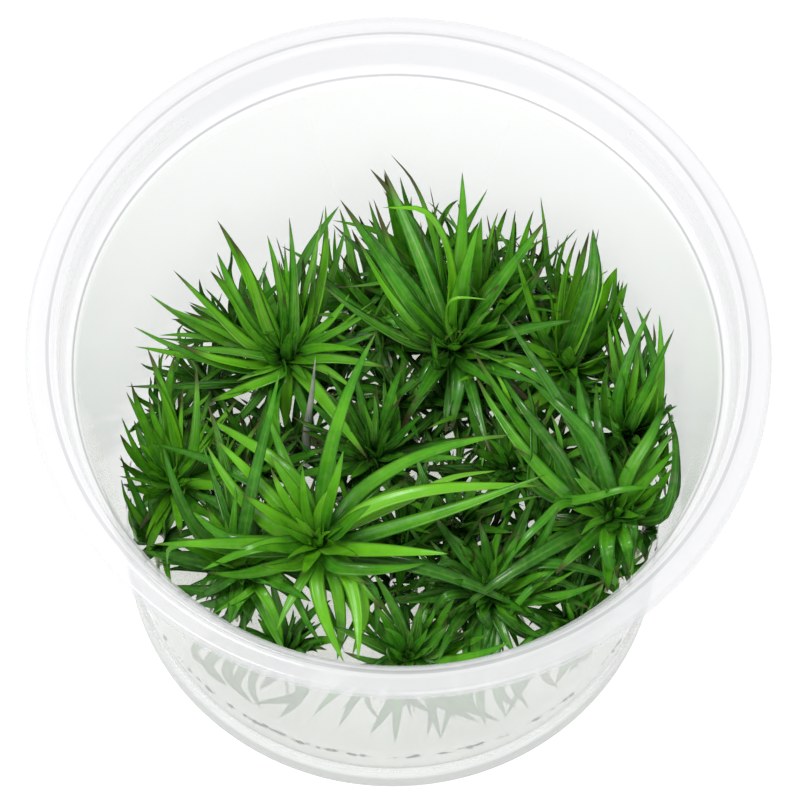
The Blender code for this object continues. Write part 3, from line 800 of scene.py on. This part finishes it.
plantletLooks["low_right"] = dict(
    seed=17, tone=0.38, age=0.3, between=14, heart=8, skirt=10,
    shoots=[(35, -6, 22, 12), (30, -14, 21, 12)],
    leaves=[
        (2.4, 0.12, (30.9, -7.4, 28), (25.9, -4.6, 31), (22.8, -1.1, 35), (17.3, 5, 38), (14.3, 10.3, 37)),
        (2.6, 0.2, (31.2, -7.7, 28), (29.9, -4.4, 33), (27.4, 0.2, 37), (21.9, 5.3, 39), (17.8, 9.9, 37)),
        (2.6, 0.25, (30.5, -6.2, 28), (28.8, -2.2, 32), (26.3, 3.2, 37), (25.1, 11.2, 36)),
        (1.8, 0.15, (30.9, -5.4, 28), (29.3, -0.8, 32), (28.2, 4.1, 35), (27.9, 11, 34)),
        (2.2, 0.4, (31.2, -6.9, 28), (32.9, -2.6, 34), (36, 2.8, 36), (42.4, 10.5, 32)),
        (1.5, 0.35, (31.9, -5.4, 28), (33.6, -1.8, 33), (36.3, 2.1, 34), (41.9, 6.8, 31)),
        (2.6, 0.45, (30.9, -7.4, 29), (29.9, -13.9, 33), (31.9, -17.7, 26)),
        (2.2, 0.5, (31.1, -7.4, 29), (32.7, -13.1, 32), (34, -15.1, 25)),
        (2.2, 0.25, (31.9, -6.1, 28), (33.3, -9.8, 31), (33.4, -14.9, 25)),
        (1.6, 0.1, (31.7, -7.3, 27), (37.6, -8.2, 31), (40.3, -4.4, 34), (42.3, 2.5, 33), (42, 9.5, 30)),
        (2.0, 0.15, (31.7, -6.5, 27), (38.8, -6, 32), (41, -1.2, 34), (41.6, 5.4, 32)),
        (1.6, 0.4, (29.1, -7, 28), (24, -7.5, 33), (21, -11, 35), (17.9, -14.2, 34), (14.5, -18.1, 29)),
        (2.4, 0.08, (29.2, -8.1, 27), (22.3, -14.3, 33), (13.9, -20, 32), (8, -23.2, 26)),
        (1.8, 0.3, (29.2, -8.1, 27), (23.5, -15.3, 31), (18.1, -20.7, 29), (15.4, -23.2, 23)),
    ],
)
plantletLooks["left"] = dict(
    seed=18, tone=0.72, age=0.5, between=20, heart=7, skirt=10,
    shoots=[(-33, -10, 20, 13)],
)
plantletLooks["front_right"] = dict(
    seed=19, tone=0.32, age=0.3, between=26, heart=8, skirt=10,
    leaves=[
        (2.2, 0.17, (14, -17.7, 25), (20.3, -16.3, 32), (27.5, -16.2, 30), (32.3, -16.1, 25)),
        (1.6, 0.2, (14.3, -18.3, 25), (20.4, -17.7, 30), (25.8, -18.2, 28), (27.9, -19.5, 22)),
        (1.4, 0.25, (14.4, -18.5, 24), (21.1, -19.4, 28), (25.4, -19.9, 26), (26.8, -20.7, 20)),
        (1.8, 0.17, (13.3, -18.4, 25), (7.9, -20.6, 29), (5.1, -22.9, 22)),
        (2.2, 0.2, (13.8, -18.6, 24), (13.1, -22, 27), (15.7, -23.3, 21)),
        (2.4, 0.23, (14.1, -18.6, 24), (16, -21.9, 27), (19.8, -23.2, 21)),
        (1.4, 0.15, (12.6, -17, 25), (8.2, -15.9, 30), (4.8, -17.6, 29), (2.6, -19.3, 25)),
        (2.0, 0.4, (14.5, -20, 25), (13.9, -24.1, 23.5), (13.1, -32, 21.3), (14.8, -35.5, 13.6)),
        (1.8, 0.4, (14.5, -20, 25), (14.9, -23.6, 23.5), (15.3, -30.9, 21.3), (17.8, -34.2, 13.6)),
        (2.8, 0.4, (14.5, -20, 25), (12.9, -23.8, 23.5), (11.2, -31.4, 21.3), (13.1, -32.3, 13.6)),
        (2.0, 0.2, (14.8, -18, 22), (18.3, -20.6, 25), (22.9, -19.5, 22)),
        (2.0, 0.25, (14.5, -18.4, 21), (17, -22.1, 23), (20.2, -23.2, 20)),
        (1.8, 0.2, (15.5, -17.7, 22), (20.9, -21.4, 24), (24.4, -21.4, 20)),
        (2.2, 0.2, (13.4, -17.8, 22), (8.5, -20.4, 24), (3.7, -20.3, 22)),
        (2.0, 0.25, (12.8, -18, 21), (7.2, -22, 23), (4.2, -23.7, 20)),
    ],
)
plantletLooks["middle"] = dict(
    seed=20, tone=0.28, age=0.4, between=30, heart=8, skirt=16,
)
plantletLooks["middle_right"] = dict(
    seed=21, tone=0.32, age=0.4, between=28, heart=8, skirt=16,
    shoots=[(20, -6, 21, 14)],
    leaves=[
        (1.9, 0.4, (17, 1.2, 22), (24.8, -6.6, 32), (32.1, -6.3, 36), (38.4, -4.3, 33)),
        (1.3, 0.9, (16.9, 1.9, 24), (16.3, 5.7, 31), (15.1, 8.1, 36), (12.9, 11.7, 37)),
    ],
)
plantletLooks["front"] = dict(
    seed=22, tone=0.36, age=0.3, between=20, heart=8, skirt=3,
    hangFrom=(3, -28, 22),
    hanging=[
        (1.7, -0.4, -28.5, -3.9, -32.7, -6.5, -34.7), (1.1, 0.2, -28.5, -2.6, -32.6, -0.5, -33.9),
        (1.9, 2.5, -28.4, 1.8, -32.5, 1.5, -37.1), (1.6, 4.4, -28.3, 5.8, -32.3, 8, -36.1),
        (1.5, 5.9, -28.3, 8.8, -32.2, 8, -35.8), (1.9, 6.2, -28.5, 9.3, -32.6, 16.2, -33),
        (2.6, 5.3, -28.1, 7.6, -31.9, 9.8, -32.7),
    ],
)
plantletLooks["centre"] = dict(
    seed=23, tone=0.25, age=0.35, between=22, heart=8, skirt=14,
    shoots=[(9, -6, 21, 14), (8, -14, 20, 12)],
)
plantletLooks["inner_left"] = dict(
    seed=24, tone=0.38, age=0.35, between=20, heart=7, skirt=12,
)
plantletLooks["front_corner"] = dict(
    seed=25, tone=0.45, age=0.35, between=16, heart=7, skirt=4,
    hangFrom=(26, -22, 21),
    hanging=[
        (1.9, 22, -23.8, 17.9, -29.3, 20.4, -31.4), (1.8, 24, -23.1, 22, -28, 24.5, -27.9),
        (1.6, 23, -23.4, 20, -28.5, 16.9, -32.3), (2.6, 21, -24.3, 15.8, -30.3, 18.4, -30.9),
        (1.8, 25.7, -21.8, 25.4, -25.3, 27.7, -25.1),
    ],
)
plantletLooks["low_left"] = dict(
    seed=26, tone=0.42, age=0.35, between=16, heart=7, skirt=4,
    hangFrom=(-14, -26.5, 19),
    hanging=[
        (2.2, -18.1, -26.1, -22.3, -29.4, -19, -32.2), (2.4, -19.3, -25.7, -24.8, -28.5, -22.7, -29.8),
        (2.0, -12.6, -27.6, -11.3, -32.4, -19, -32.3), (2.2, -12.8, -27.6, -11.8, -32.4, -15.1, -34.4),
        (1.6, -16.3, -27, -18.7, -31.2, -17.9, -33), (2.0, -20.5, -24.9, -27.2, -27, -25.6, -28.1),
        (2.0, -17.1, -26.5, -20.4, -30.2, -21, -31.5),
    ],
)
plantletLooks["rear"] = dict(
    seed=27, tone=0.26, age=0.5, between=18, heart=6, skirt=10,
    shoots=[(9, 30, 24, 15), (-5, 27, 22, 15), (3, 31, 26, 17)],
)
plantletLooks["rear_corner"] = dict(
    seed=28, tone=0.38, age=0.5, between=20, heart=6, skirt=10,
    shoots=[(23, 26, 26, 17), (16, 26, 26, 17), (11, 25, 27, 17)],
)


def crownOf(leaves):
    starts = [leaf["spine"][0] for leaf in leaves]
    centre = sum(starts, Vector()) / len(starts)
    starts.sort(key=lambda s: s.z)
    third = max(len(starts) // 3, 1)
    rise = sum(starts[-third:], Vector()) / third - sum(starts[:third], Vector()) / third
    return centre, rise.normalized()


def pulledIn(leaf, centre, axis, share):
    start = leaf["spine"][0]
    onAxis = centre + axis * (start - centre).dot(axis)
    spine = [onAxis.lerp(start, share)] + leaf["spine"][1:]
    return {**leaf, "spine": spine}


leafTurn = 2.4  # radians from one leaf to the next above it
# How each kind of leaf stands. Lengths and widths are shares of the plantlet's own leaves. Every rise, and the droop
# of skirt and shoot, is in degrees, and the other angles in radians. Pairs are drawn between their ends. "strays" is
# how far twist, wave and bend go either way, and "turnStray", "twistStray" and "bendStray" say it of one of them.
growth = {
    "own": {"tone": (-0.26, 0.22), "age": (-0.3, 0.4), "youngest": 0.05, "strays": (0.35, 0.25), "gathered": 0.45},
    "between": {
        "neighbours": 4, "alike": 0.2, "weight": (0.3, 0.7), "length": (0.6, 0.98), "width": (0.5, 0.9),
        "stray": 0.09, "leastSide": 0.3, "tone": (-0.34, 0.26), "age": (-0.3, 0.6), "youngest": 0.05,
        "strays": (0.9, 0.6, 0.3), "gathered": 0.4,
    },
    "heart": {
        "rise": (48, 86), "length": (0.35, 0.85), "droop": (-0.1, 0.45), "width": 0.7, "lift": 1.0 * mm,
        "tone": (-0.1, 0.2), "age": 0.1, "twistStray": 0.6, "wave": 0.2, "fold": 1.4, "bendStray": 0.35,
    },
    "bud": {
        "leaves": 4, "turn": 1.7, "rise": (62, 84), "length": (0.22, 0.4), "droop": 0.2, "width": 0.8,
        "sunk": 0.6 * mm, "offset": 0.2 * mm, "tone": 0.1, "age": 0.05, "wave": 0.1, "fold": 2.2,
    },
    "skirt": {
        "rise": (-6, 22), "droop": (12, 46), "length": (0.55, 0.95), "sunk": 1.2 * mm, "turnStray": 0.3,
        "width": 0.75, "age": (0.0, 0.9), "tone": (0.05, 0.3), "twistStray": 0.5, "wave": 0.3,
    },
    "single": {"age": 0.1, "fold": 1.2, "stripeAndGlint": 0.3},
    "hanging": {"tone": 0.4, "heights": (23.5, 21.3, 13.6)},
    "shoot": {
        "leanOut": 4, "lean": 0.25, "upright": 0.4, "riseStray": 14, "droop": (5, 48),
        "rise": (-4, 86, 0.85),  # of the lowest leaf, how far it climbs to the youngest, and the climb's power
        "straighter": 0.6, "length": (0.7, 1.2), "lengthCurve": (0.68, 1.1, 1.0), "turnStray": 0.25,
        "age": (-0.2, 0.5), "youngest": 0.05, "tone": (-0.16, 0.2), "toneRise": 0.15, "strays": (0.9, 0.5, 0.35),
    },
}


def betweenLeaf(first, second, weight, scale, chance):
    plan = growth["between"]
    count = min(len(first["spine"]), len(second["spine"]))
    a = [splinePoint(first["spine"], i / (count - 1)) for i in range(count)]
    b = [splinePoint(second["spine"], i / (count - 1)) for i in range(count)]
    spine = [p.lerp(q, weight) for p, q in zip(a, b)]
    start = spine[0]
    stray = Vector([chance.gauss(0, 1) for _ in range(3)]) * (plan["stray"] * (spine[-1] - start).length)
    top = max(leaf["spine"][-1].z for leaf in (first, second))
    far = max(leaf["spine"][-1].xy.length for leaf in (first, second))
    moved = []
    for index, spot in enumerate(spine):
        share = index / (count - 1)
        spot = keptInside(start + (spot - start) * scale + stray * share**1.5)
        inward = min(1.0, far / spot.xy.length)
        moved.append(Vector((spot.x * inward, spot.y * inward, min(spot.z, top))))
    sides, ups = ([blended(first[key], i / 2).lerp(blended(second[key], i / 2), weight) for i in range(3)]
                  for key in ("sides", "ups"))
    if any(side.length < plan["leastSide"] for side in sides):
        sides = first["sides"]
        ups = first["ups"]
    width = min(first["width"], second["width"]) * chance.draw(plan["width"])
    sides, ups = ([way.normalized() for way in ways] for ways in (sides, ups))
    return {"spine": moved, "sides": sides, "ups": ups, "width": width}


def risingLeaf(centre, axis, turn, rise, droop, length, width, offset=0.8 * mm):
    out = Matrix.Rotation(turn, 3, axis) @ axis.orthogonal().normalized()
    way = out * math.cos(rise) + axis * math.sin(rise)
    end = out * math.cos(rise - droop) + axis * math.sin(rise - droop)
    start = centre + out * offset
    bend = start + way * (0.45 * length)
    tip = bend + end * (0.55 * length)
    spine = [keptInside(arcPoint(start, bend, tip, index / 4), 0.3 * mm) for index in range(5)]
    side = axis.cross(out).normalized()
    ups = [(spine[index + 2] - spine[index]).cross(side).normalized() for index in range(3)]
    return {"spine": spine, "sides": [side] * 3, "ups": ups, "width": width}


def singleLeaf(width, stripeAndGlint, spots):
    spine = [keptInside(Vector(spot) * mm) for spot in spots]
    sides = []
    ups = []
    for index in range(3):
        near = round(index * (len(spine) - 1) / 2)
        ahead = spine[min(near + 1, len(spine) - 1)] - spine[max(near - 1, 0)]
        side = ahead.cross(Vector((0, 0, 1))).normalized()
        sides.append(side)
        ups.append(side.cross(ahead).normalized())
    return {"spine": spine, "sides": sides, "ups": ups, "width": width * mm, "stripeAndGlint": stripeAndGlint}


# Young side shoots fill the ground between the crowns. Each belongs to the nearest plantlet.
understorey = {
    "seed": 5,
    "spacing": 8.9 * mm,
    "rowShare": 0.87,
    "rows": range(-5, 6),
    "stray": 0.18,
    "radius": 33.5 * mm,
    "clearance": 4.5 * mm,
    "frontEdge": -21 * mm,  # nearer the front only single leaves hang by the wall
    "height": (14.2 * mm, 18.5 * mm),
    "reach": (9.5 * mm, 13.5 * mm),
    "leaves": (16, 22),
    "width": (0.9 * mm, 1.6 * mm),
    # The shoots' tone is kept low as painted shade, low down among the crowns
    "tone": (0.1, 0.46),
    "age": 0.4,
}


def shootPlaces(crowns):
    plan = understorey
    chance = Chance(plan["seed"])
    places = {name: [] for name in crowns}
    step = plan["spacing"]
    for row in plan["rows"]:
        for column in plan["rows"]:
            x = (column + 0.5 * (row % 2)) * step + chance.draw(plan["stray"]) * step
            y = row * step * plan["rowShare"] + chance.draw(plan["stray"]) * step
            spot = Vector((x, y, chance.draw(plan["height"])))
            if math.hypot(x, y) > plan["radius"] or y < plan["frontEdge"]:
                continue
            near = min(crowns, key=lambda name: (crowns[name].xy - spot.xy).length)
            if (crowns[near].xy - spot.xy).length > plan["clearance"]:
                places[near].append(spot)
    return places


def addShoot(blades, centre, chance, reach=None):
    ground, plan = understorey, growth["shoot"]
    lean = Vector((centre.x * plan["leanOut"], centre.y * plan["leanOut"], 1)).normalized()
    stray = Vector((chance.draw(plan["lean"]), chance.draw(plan["lean"]), plan["upright"]))
    axis = (lean + stray).normalized()
    count = chance.randint(*ground["leaves"])
    reach = reach or chance.draw(ground["reach"])
    width = chance.draw(ground["width"])
    tone = chance.draw(ground["tone"])
    lowest, rising, power = plan["rise"]
    short, longer, inner = plan["lengthCurve"]
    for index in range(count):
        youth = (index + 0.5) / count
        rise = math.radians(lowest + rising * youth**power + chance.draw(plan["riseStray"]))
        droop = math.radians(chance.draw(plan["droop"])) * (1 - plan["straighter"] * youth)
        length = reach * (short + longer * youth - inner * youth**2) * chance.draw(plan["length"])
        turn = index * leafTurn + chance.draw(plan["turnStray"])
        leaf = risingLeaf(centre, axis, turn, rise, droop, length, width)
        age = max(ground["age"] + chance.draw(plan["age"]) * (1 - youth), plan["youngest"])
        leafTone = tone + chance.draw(plan["tone"]) + plan["toneRise"] * youth
        twist, wave, bend = (chance.draw(most) for most in plan["strays"])
        blades.addBlade(leaf, leafTone, age, twist, wave, 1.0, bend)


def tube(mesh, spots, radii, sides):
    points, faces = mesh
    first = len(points)
    for index, (spot, radius) in enumerate(zip(spots, radii)):
        ahead = (spots[min(index + 1, len(spots) - 1)] - spots[max(index - 1, 0)]).normalized()
        one = ahead.orthogonal().normalized()
        two = ahead.cross(one)
        for k in range(sides):
            angle = 2 * math.pi * k / sides
            points.append(spot + (one * math.cos(angle) + two * math.sin(angle)) * radius)
    joinRings(faces, first, len(spots), sides)
    faces.append(tuple(first + k for k in reversed(range(sides))))
    last = first + (len(spots) - 1) * sides
    faces.append(tuple(last + k for k in range(sides)))


rootShape = {
    "stockRadii": (0.6 * mm, 0.9 * mm, 0.5 * mm),
    "stockSides": 10,
    "stockTop": 2.2 * mm,  # below the crown's middle
    "fibres": 5,
    "fibreRadius": (0.16, 0.26),
    "fibreSides": 6,
    "turnStray": 0.3,
    "top": (1.0 * mm, 1.2 * mm),  # below the crown's middle, and out from its axis
    "reach": (2.0, 5.5),
    "depth": 0.25 * mm,  # in the gel
    "bow": (0.3, 1.4),
    "bowRise": 0.8 * mm,
}


def addRoots(roots, centre, axis, chance):
    shape = rootShape
    foot = Vector((centre.x, centre.y, cupRoom["gelTop"]))
    top = centre - axis * shape["stockTop"]
    tube(roots, [foot, foot.lerp(centre, 0.5), top], shape["stockRadii"], shape["stockSides"])
    for index in range(shape["fibres"]):
        turn = index * leafTurn + chance.draw(shape["turnStray"])
        out = Vector((math.cos(turn), math.sin(turn), 0))
        reach = chance.draw(shape["reach"]) * mm
        start = centre - axis * shape["top"][0] + out * shape["top"][1]
        end = keptInside(foot + out * reach, 1 * mm)
        end.z = cupRoom["gelTop"] - shape["depth"]
        middle = start.lerp(end, 0.5) + out * (chance.draw(shape["bow"]) * mm) + Vector((0, 0, shape["bowRise"]))
        spots = [arcPoint(start, middle, end, step / 4) for step in range(5)]
        tube(roots, spots, [chance.draw(shape["fibreRadius"]) * mm] * 5, shape["fibreSides"])


def addOwnLeaves(blades, look, leaves, centre, axis, chance):
    plan = growth["own"]
    for leaf in leaves:
        tone = look["tone"] + chance.draw(plan["tone"])
        age = max(look["age"] + chance.draw(plan["age"]), plan["youngest"])
        twist, wave = (chance.draw(most) for most in plan["strays"])
        blades.addBlade(pulledIn(leaf, centre, axis, plan["gathered"]), tone, age, twist, wave)


def addBetween(blades, look, leaves, centre, axis, chance):
    plan = growth["between"]
    ways = [(leaf["spine"][-1] - centre).normalized() for leaf in leaves]
    pairs = []
    for i, way in enumerate(ways):
        others = sorted((j for j in range(len(ways)) if j != i), key=lambda j: -way.dot(ways[j]))
        pairs += [(i, j) for j in others[:plan["neighbours"]] if way.dot(ways[j]) > plan["alike"]]
    chance.shuffle(pairs)
    for i, j in pairs[:look["between"]]:
        weight, scale = chance.draw(plan["weight"]), chance.draw(plan["length"])
        leaf = betweenLeaf(leaves[i], leaves[j], weight, scale, chance)
        tone = look["tone"] + chance.draw(plan["tone"])
        age = max(look["age"] + chance.draw(plan["age"]), plan["youngest"])
        twist, wave, bend = (chance.draw(most) for most in plan["strays"])
        blades.addBlade(pulledIn(leaf, centre, axis, plan["gathered"]), tone, age, twist, wave, 1.0, bend)


def addHeart(blades, look, typical, width, centre, axis, chance):
    plan = growth["heart"]
    for index in range(look["heart"]):
        rise = math.radians(chance.draw(plan["rise"]))
        length = typical * chance.draw(plan["length"])
        droop = chance.draw(plan["droop"])
        start = centre + axis * plan["lift"]
        leaf = risingLeaf(start, axis, index * leafTurn, rise, droop, length, width * plan["width"])
        bend = chance.draw(plan["bendStray"])
        tone = look["tone"] + chance.draw(plan["tone"])
        twist = chance.draw(plan["twistStray"])
        blades.addBlade(leaf, tone, plan["age"], twist, plan["wave"], plan["fold"], bend)
    plan = growth["bud"]  # it closes the heart
    start = centre - axis * plan["sunk"]
    for index in range(plan["leaves"]):
        rise = math.radians(chance.draw(plan["rise"]))
        length = typical * chance.draw(plan["length"])
        turn = index * plan["turn"]
        leaf = risingLeaf(start, axis, turn, rise, plan["droop"], length, width * plan["width"], plan["offset"])
        blades.addBlade(leaf, look["tone"] + plan["tone"], plan["age"], 0.0, plan["wave"], plan["fold"])


def addSkirt(blades, look, typical, width, centre, axis, chance):
    plan = growth["skirt"]
    low = centre - axis * plan["sunk"]
    for index in range(look["skirt"]):
        rise = math.radians(chance.draw(plan["rise"]))
        droop = math.radians(chance.draw(plan["droop"]))
        length = typical * chance.draw(plan["length"])
        turn = index * leafTurn + chance.draw(plan["turnStray"])
        leaf = risingLeaf(low, axis, turn, rise, droop, length, width * plan["width"])
        age = look["age"] + chance.draw(plan["age"])
        tone = look["tone"] - chance.draw(plan["tone"])
        blades.addBlade(leaf, tone, age, chance.draw(plan["twistStray"]), plan["wave"])


def addSingle(blades, look):
    plan, low = growth["single"], growth["hanging"]
    rows = list(look.get("leaves", ()))
    for bladeWidth, *flat in look.get("hanging", ()):
        spots = [(*flat[2 * k:2 * k + 2], height) for k, height in enumerate(low["heights"])]
        rows.append((bladeWidth, low["tone"], look["hangFrom"], *spots))
    for index, (bladeWidth, tone, *spots) in enumerate(rows):
        stripeAndGlint = look.get("stripes", {}).get(index, plan["stripeAndGlint"])
        blades.addBlade(singleLeaf(bladeWidth, stripeAndGlint, spots), tone, plan["age"], fold=plan["fold"])


def makePlantlet(name, look, leaves, shoots, leafSkin, rootSkin):
    chance = Chance(look["seed"])
    centre, axis = crownOf(leaves)
    blades = LeafMesh()
    typical = sum(leafLength(leaf) for leaf in leaves) / len(leaves)
    width = sum(leaf["width"] for leaf in leaves) / len(leaves)
    addOwnLeaves(blades, look, leaves, centre, axis, chance)
    addBetween(blades, look, leaves, centre, axis, chance)
    addHeart(blades, look, typical, width, centre, axis, chance)
    addSkirt(blades, look, typical, width, centre, axis, chance)
    addSingle(blades, look)
    for spot in shoots:
        addShoot(blades, spot, chance)
    extra = look.get("shoots", ())
    for x, y, z, reach in extra:
        addShoot(blades, Vector((x, y, z)) * mm, chance, reach * mm)
    skin = blades.make("leaves_" + name, leafSkin)
    place(skin, "leaf", "plantlet_" + name)
    roots = ([], [])
    addRoots(roots, centre, axis, chance)
    for spot in shoots + [Vector(shoot[:3]) * mm for shoot in extra]:
        addRoots(roots, spot, Vector((0, 0, 1)), chance)
    stock = meshObject("roots_" + name, *roots, rootSkin)
    place(stock, "leaf", "plantlet_" + name)
    return len(leaves), len(skin.data.polygons)


def makePlantlets():
    leafSkin = leafMaterial(leafLook)
    rootSkin = rootMaterial(rootLook)
    leafCount = 0
    faceCount = 0
    traced = {name: tracedLeaves(nodes["plantlet_" + name]) for name in plantletLooks}
    places = shootPlaces({name: crownOf(leaves)[0] for name, leaves in traced.items()})
    for name, look in plantletLooks.items():
        found, faces = makePlantlet(name, look, traced[name], places[name], leafSkin, rootSkin)
        leafCount += found
        faceCount += faces
    print("stage: plantlets,", leafCount, "leaves followed from the solids,", faceCount, "faces")


# Withered blade
witheredLook = {
    "pale": (0.62, 0.67, 0.57),
    "grey": (0.4, 0.46, 0.36),
    "streakScale": 260,
    "veins": 18.0,
    "bump": (0.5, 0.1 * mm),
    "through": 0.25,
    "roughness": 0.55,
    "widening": 1.05,
    "blade": {"tone": 0.5, "age": 0.2, "twist": 0.5, "wave": 0.4, "fold": 1.5},
}


def witheredMaterial(look):
    material, tree = newMaterial("witheredBlade")
    streak = noise(tree, look["streakScale"], 4)
    colour = mixColour(tree, spread(tree, streak, 0.35, 0.65), look["pale"], look["grey"])
    veins = calc(tree, "SINE", calc(tree, "MULTIPLY", attribute(tree, "across"), look["veins"]))
    bump = bumped(tree, veins, *look["bump"])
    body = addNode(tree, "BsdfPrincipled", None, Base_Color=colour, Roughness=look["roughness"], Normal=bump)
    through = addNode(tree, "BsdfTranslucent", None, Color=colour)
    finish(tree, mixShader(tree, look["through"], body.outputs[0], through.outputs[0]))
    return material


def makeWithered():
    leaves = tracedLeaves(nodes["withered_leaf"])
    blades = LeafMesh()
    for leaf in leaves:
        blades.addBlade({**leaf, "width": leaf["width"] * witheredLook["widening"]}, **witheredLook["blade"])
    piece = blades.make("witheredBlade", witheredMaterial(witheredLook))
    place(piece, "dead_leaf", "withered_leaf")
    print("stage: withered blade,", len(leaves), "followed")


# Floor, light and camera
floorLook = {"size": 4.0, "colour": (0.24, 0.24, 0.24), "cloudy": 0.99, "roughness": 0.6, "glow": 0.94}
lightPlan = {
    "world": 0.6,
    "keyPlace": (-0.3, -0.1, 1.0), "keySize": 0.34, "keyPower": 8.6,
    "fillPlace": (0.2, -0.62, 0.5), "fillSize": 0.4, "fillPower": 3.0,
    "aim": (0, 0, 0.03),
}
cameraPlan = {
    "focal": 225.0,  # millimetres, on a sensor of this width
    "sensor": 36.0,
    "place": (0.0, -0.27853, 0.67477),
    "pitch": 65.99,  # degrees below the horizon
    "heading": 0.09,
    "roll": 2.2,
}


def makeFloor():
    look = floorLook
    half = look["size"] / 2
    material, tree = newMaterial("paleFloor")
    colour = mixColour(tree, noise(tree, 6, 2), look["colour"], tuple(look["cloudy"] * c for c in look["colour"]))
    body = addNode(tree, "BsdfPrincipled", None, Base_Color=colour, Roughness=look["roughness"],
                   Emission_Color=(1, 1, 1, 1), Emission_Strength=look["glow"])
    finish(tree, body.outputs[0])
    material.cycles.emission_sampling = "NONE"
    corners = [(-half, -half, 0), (half, -half, 0), (half, half, 0), (-half, half, 0)]
    floor = meshObject("paleFloor", corners, [(0, 1, 2, 3)], material)


def addLight(name, spot, size, power):
    data = bpy.data.lights.new(name, "AREA")
    data.shape = "DISK"
    data.size = size
    data.energy = power
    lamp = bpy.data.objects.new(name, data)
    lamp.location = spot
    lamp.rotation_euler = (Vector(lightPlan["aim"]) - Vector(spot)).to_track_quat("-Z", "Y").to_euler()
    bpy.context.scene.collection.objects.link(lamp)


def makeLights():
    plan = lightPlan
    world = bpy.data.worlds.new("softStudio")
    world.use_nodes = True
    background = world.node_tree.nodes["Background"]
    background.inputs["Color"].default_value = (1, 1, 1, 1)
    background.inputs["Strength"].default_value = plan["world"]
    world.cycles.sampling_method = "NONE"
    bpy.context.scene.world = world
    addLight("keyLight", plan["keyPlace"], plan["keySize"], plan["keyPower"])
    addLight("fillLight", plan["fillPlace"], plan["fillSize"], plan["fillPower"])


def makeCamera():
    plan = cameraPlan
    pitch, heading, roll = (math.radians(plan[key]) for key in ("pitch", "heading", "roll"))
    ahead = Vector((math.sin(heading) * math.cos(pitch), math.cos(heading) * math.cos(pitch), -math.sin(pitch)))
    right = Vector((math.cos(heading), -math.sin(heading), 0))
    up = right.cross(ahead)
    turnedRight = right * math.cos(roll) + up * math.sin(roll)
    turnedUp = up * math.cos(roll) - right * math.sin(roll)
    data = bpy.data.cameras.new("photoCamera")
    data.lens = plan["focal"]
    data.sensor_width = plan["sensor"]
    data.clip_start = 0.01
    data.clip_end = 20
    camera = bpy.data.objects.new("photoCamera", data)
    turned = Matrix((turnedRight, turnedUp, -ahead)).transposed().to_4x4()
    camera.matrix_world = Matrix.Translation(plan["place"]) @ turned
    bpy.context.scene.collection.objects.link(camera)
    bpy.context.scene.camera = camera


def setLook():
    scene = bpy.context.scene
    scene.view_settings.view_transform = "Standard"
    scene.view_settings.look = "None"
    scene.cycles.transparent_max_bounces = 16
    scene.cycles.max_bounces = 5
    scene.cycles.diffuse_bounces = 3
    scene.cycles.glossy_bounces = 2
    scene.cycles.transmission_bounces = 3


makeCup()
makeGel()
makePlantlets()
makeWithered()
makeFloor()
makeLights()
makeCamera()
setLook()
print("stage: floor, lights and camera")
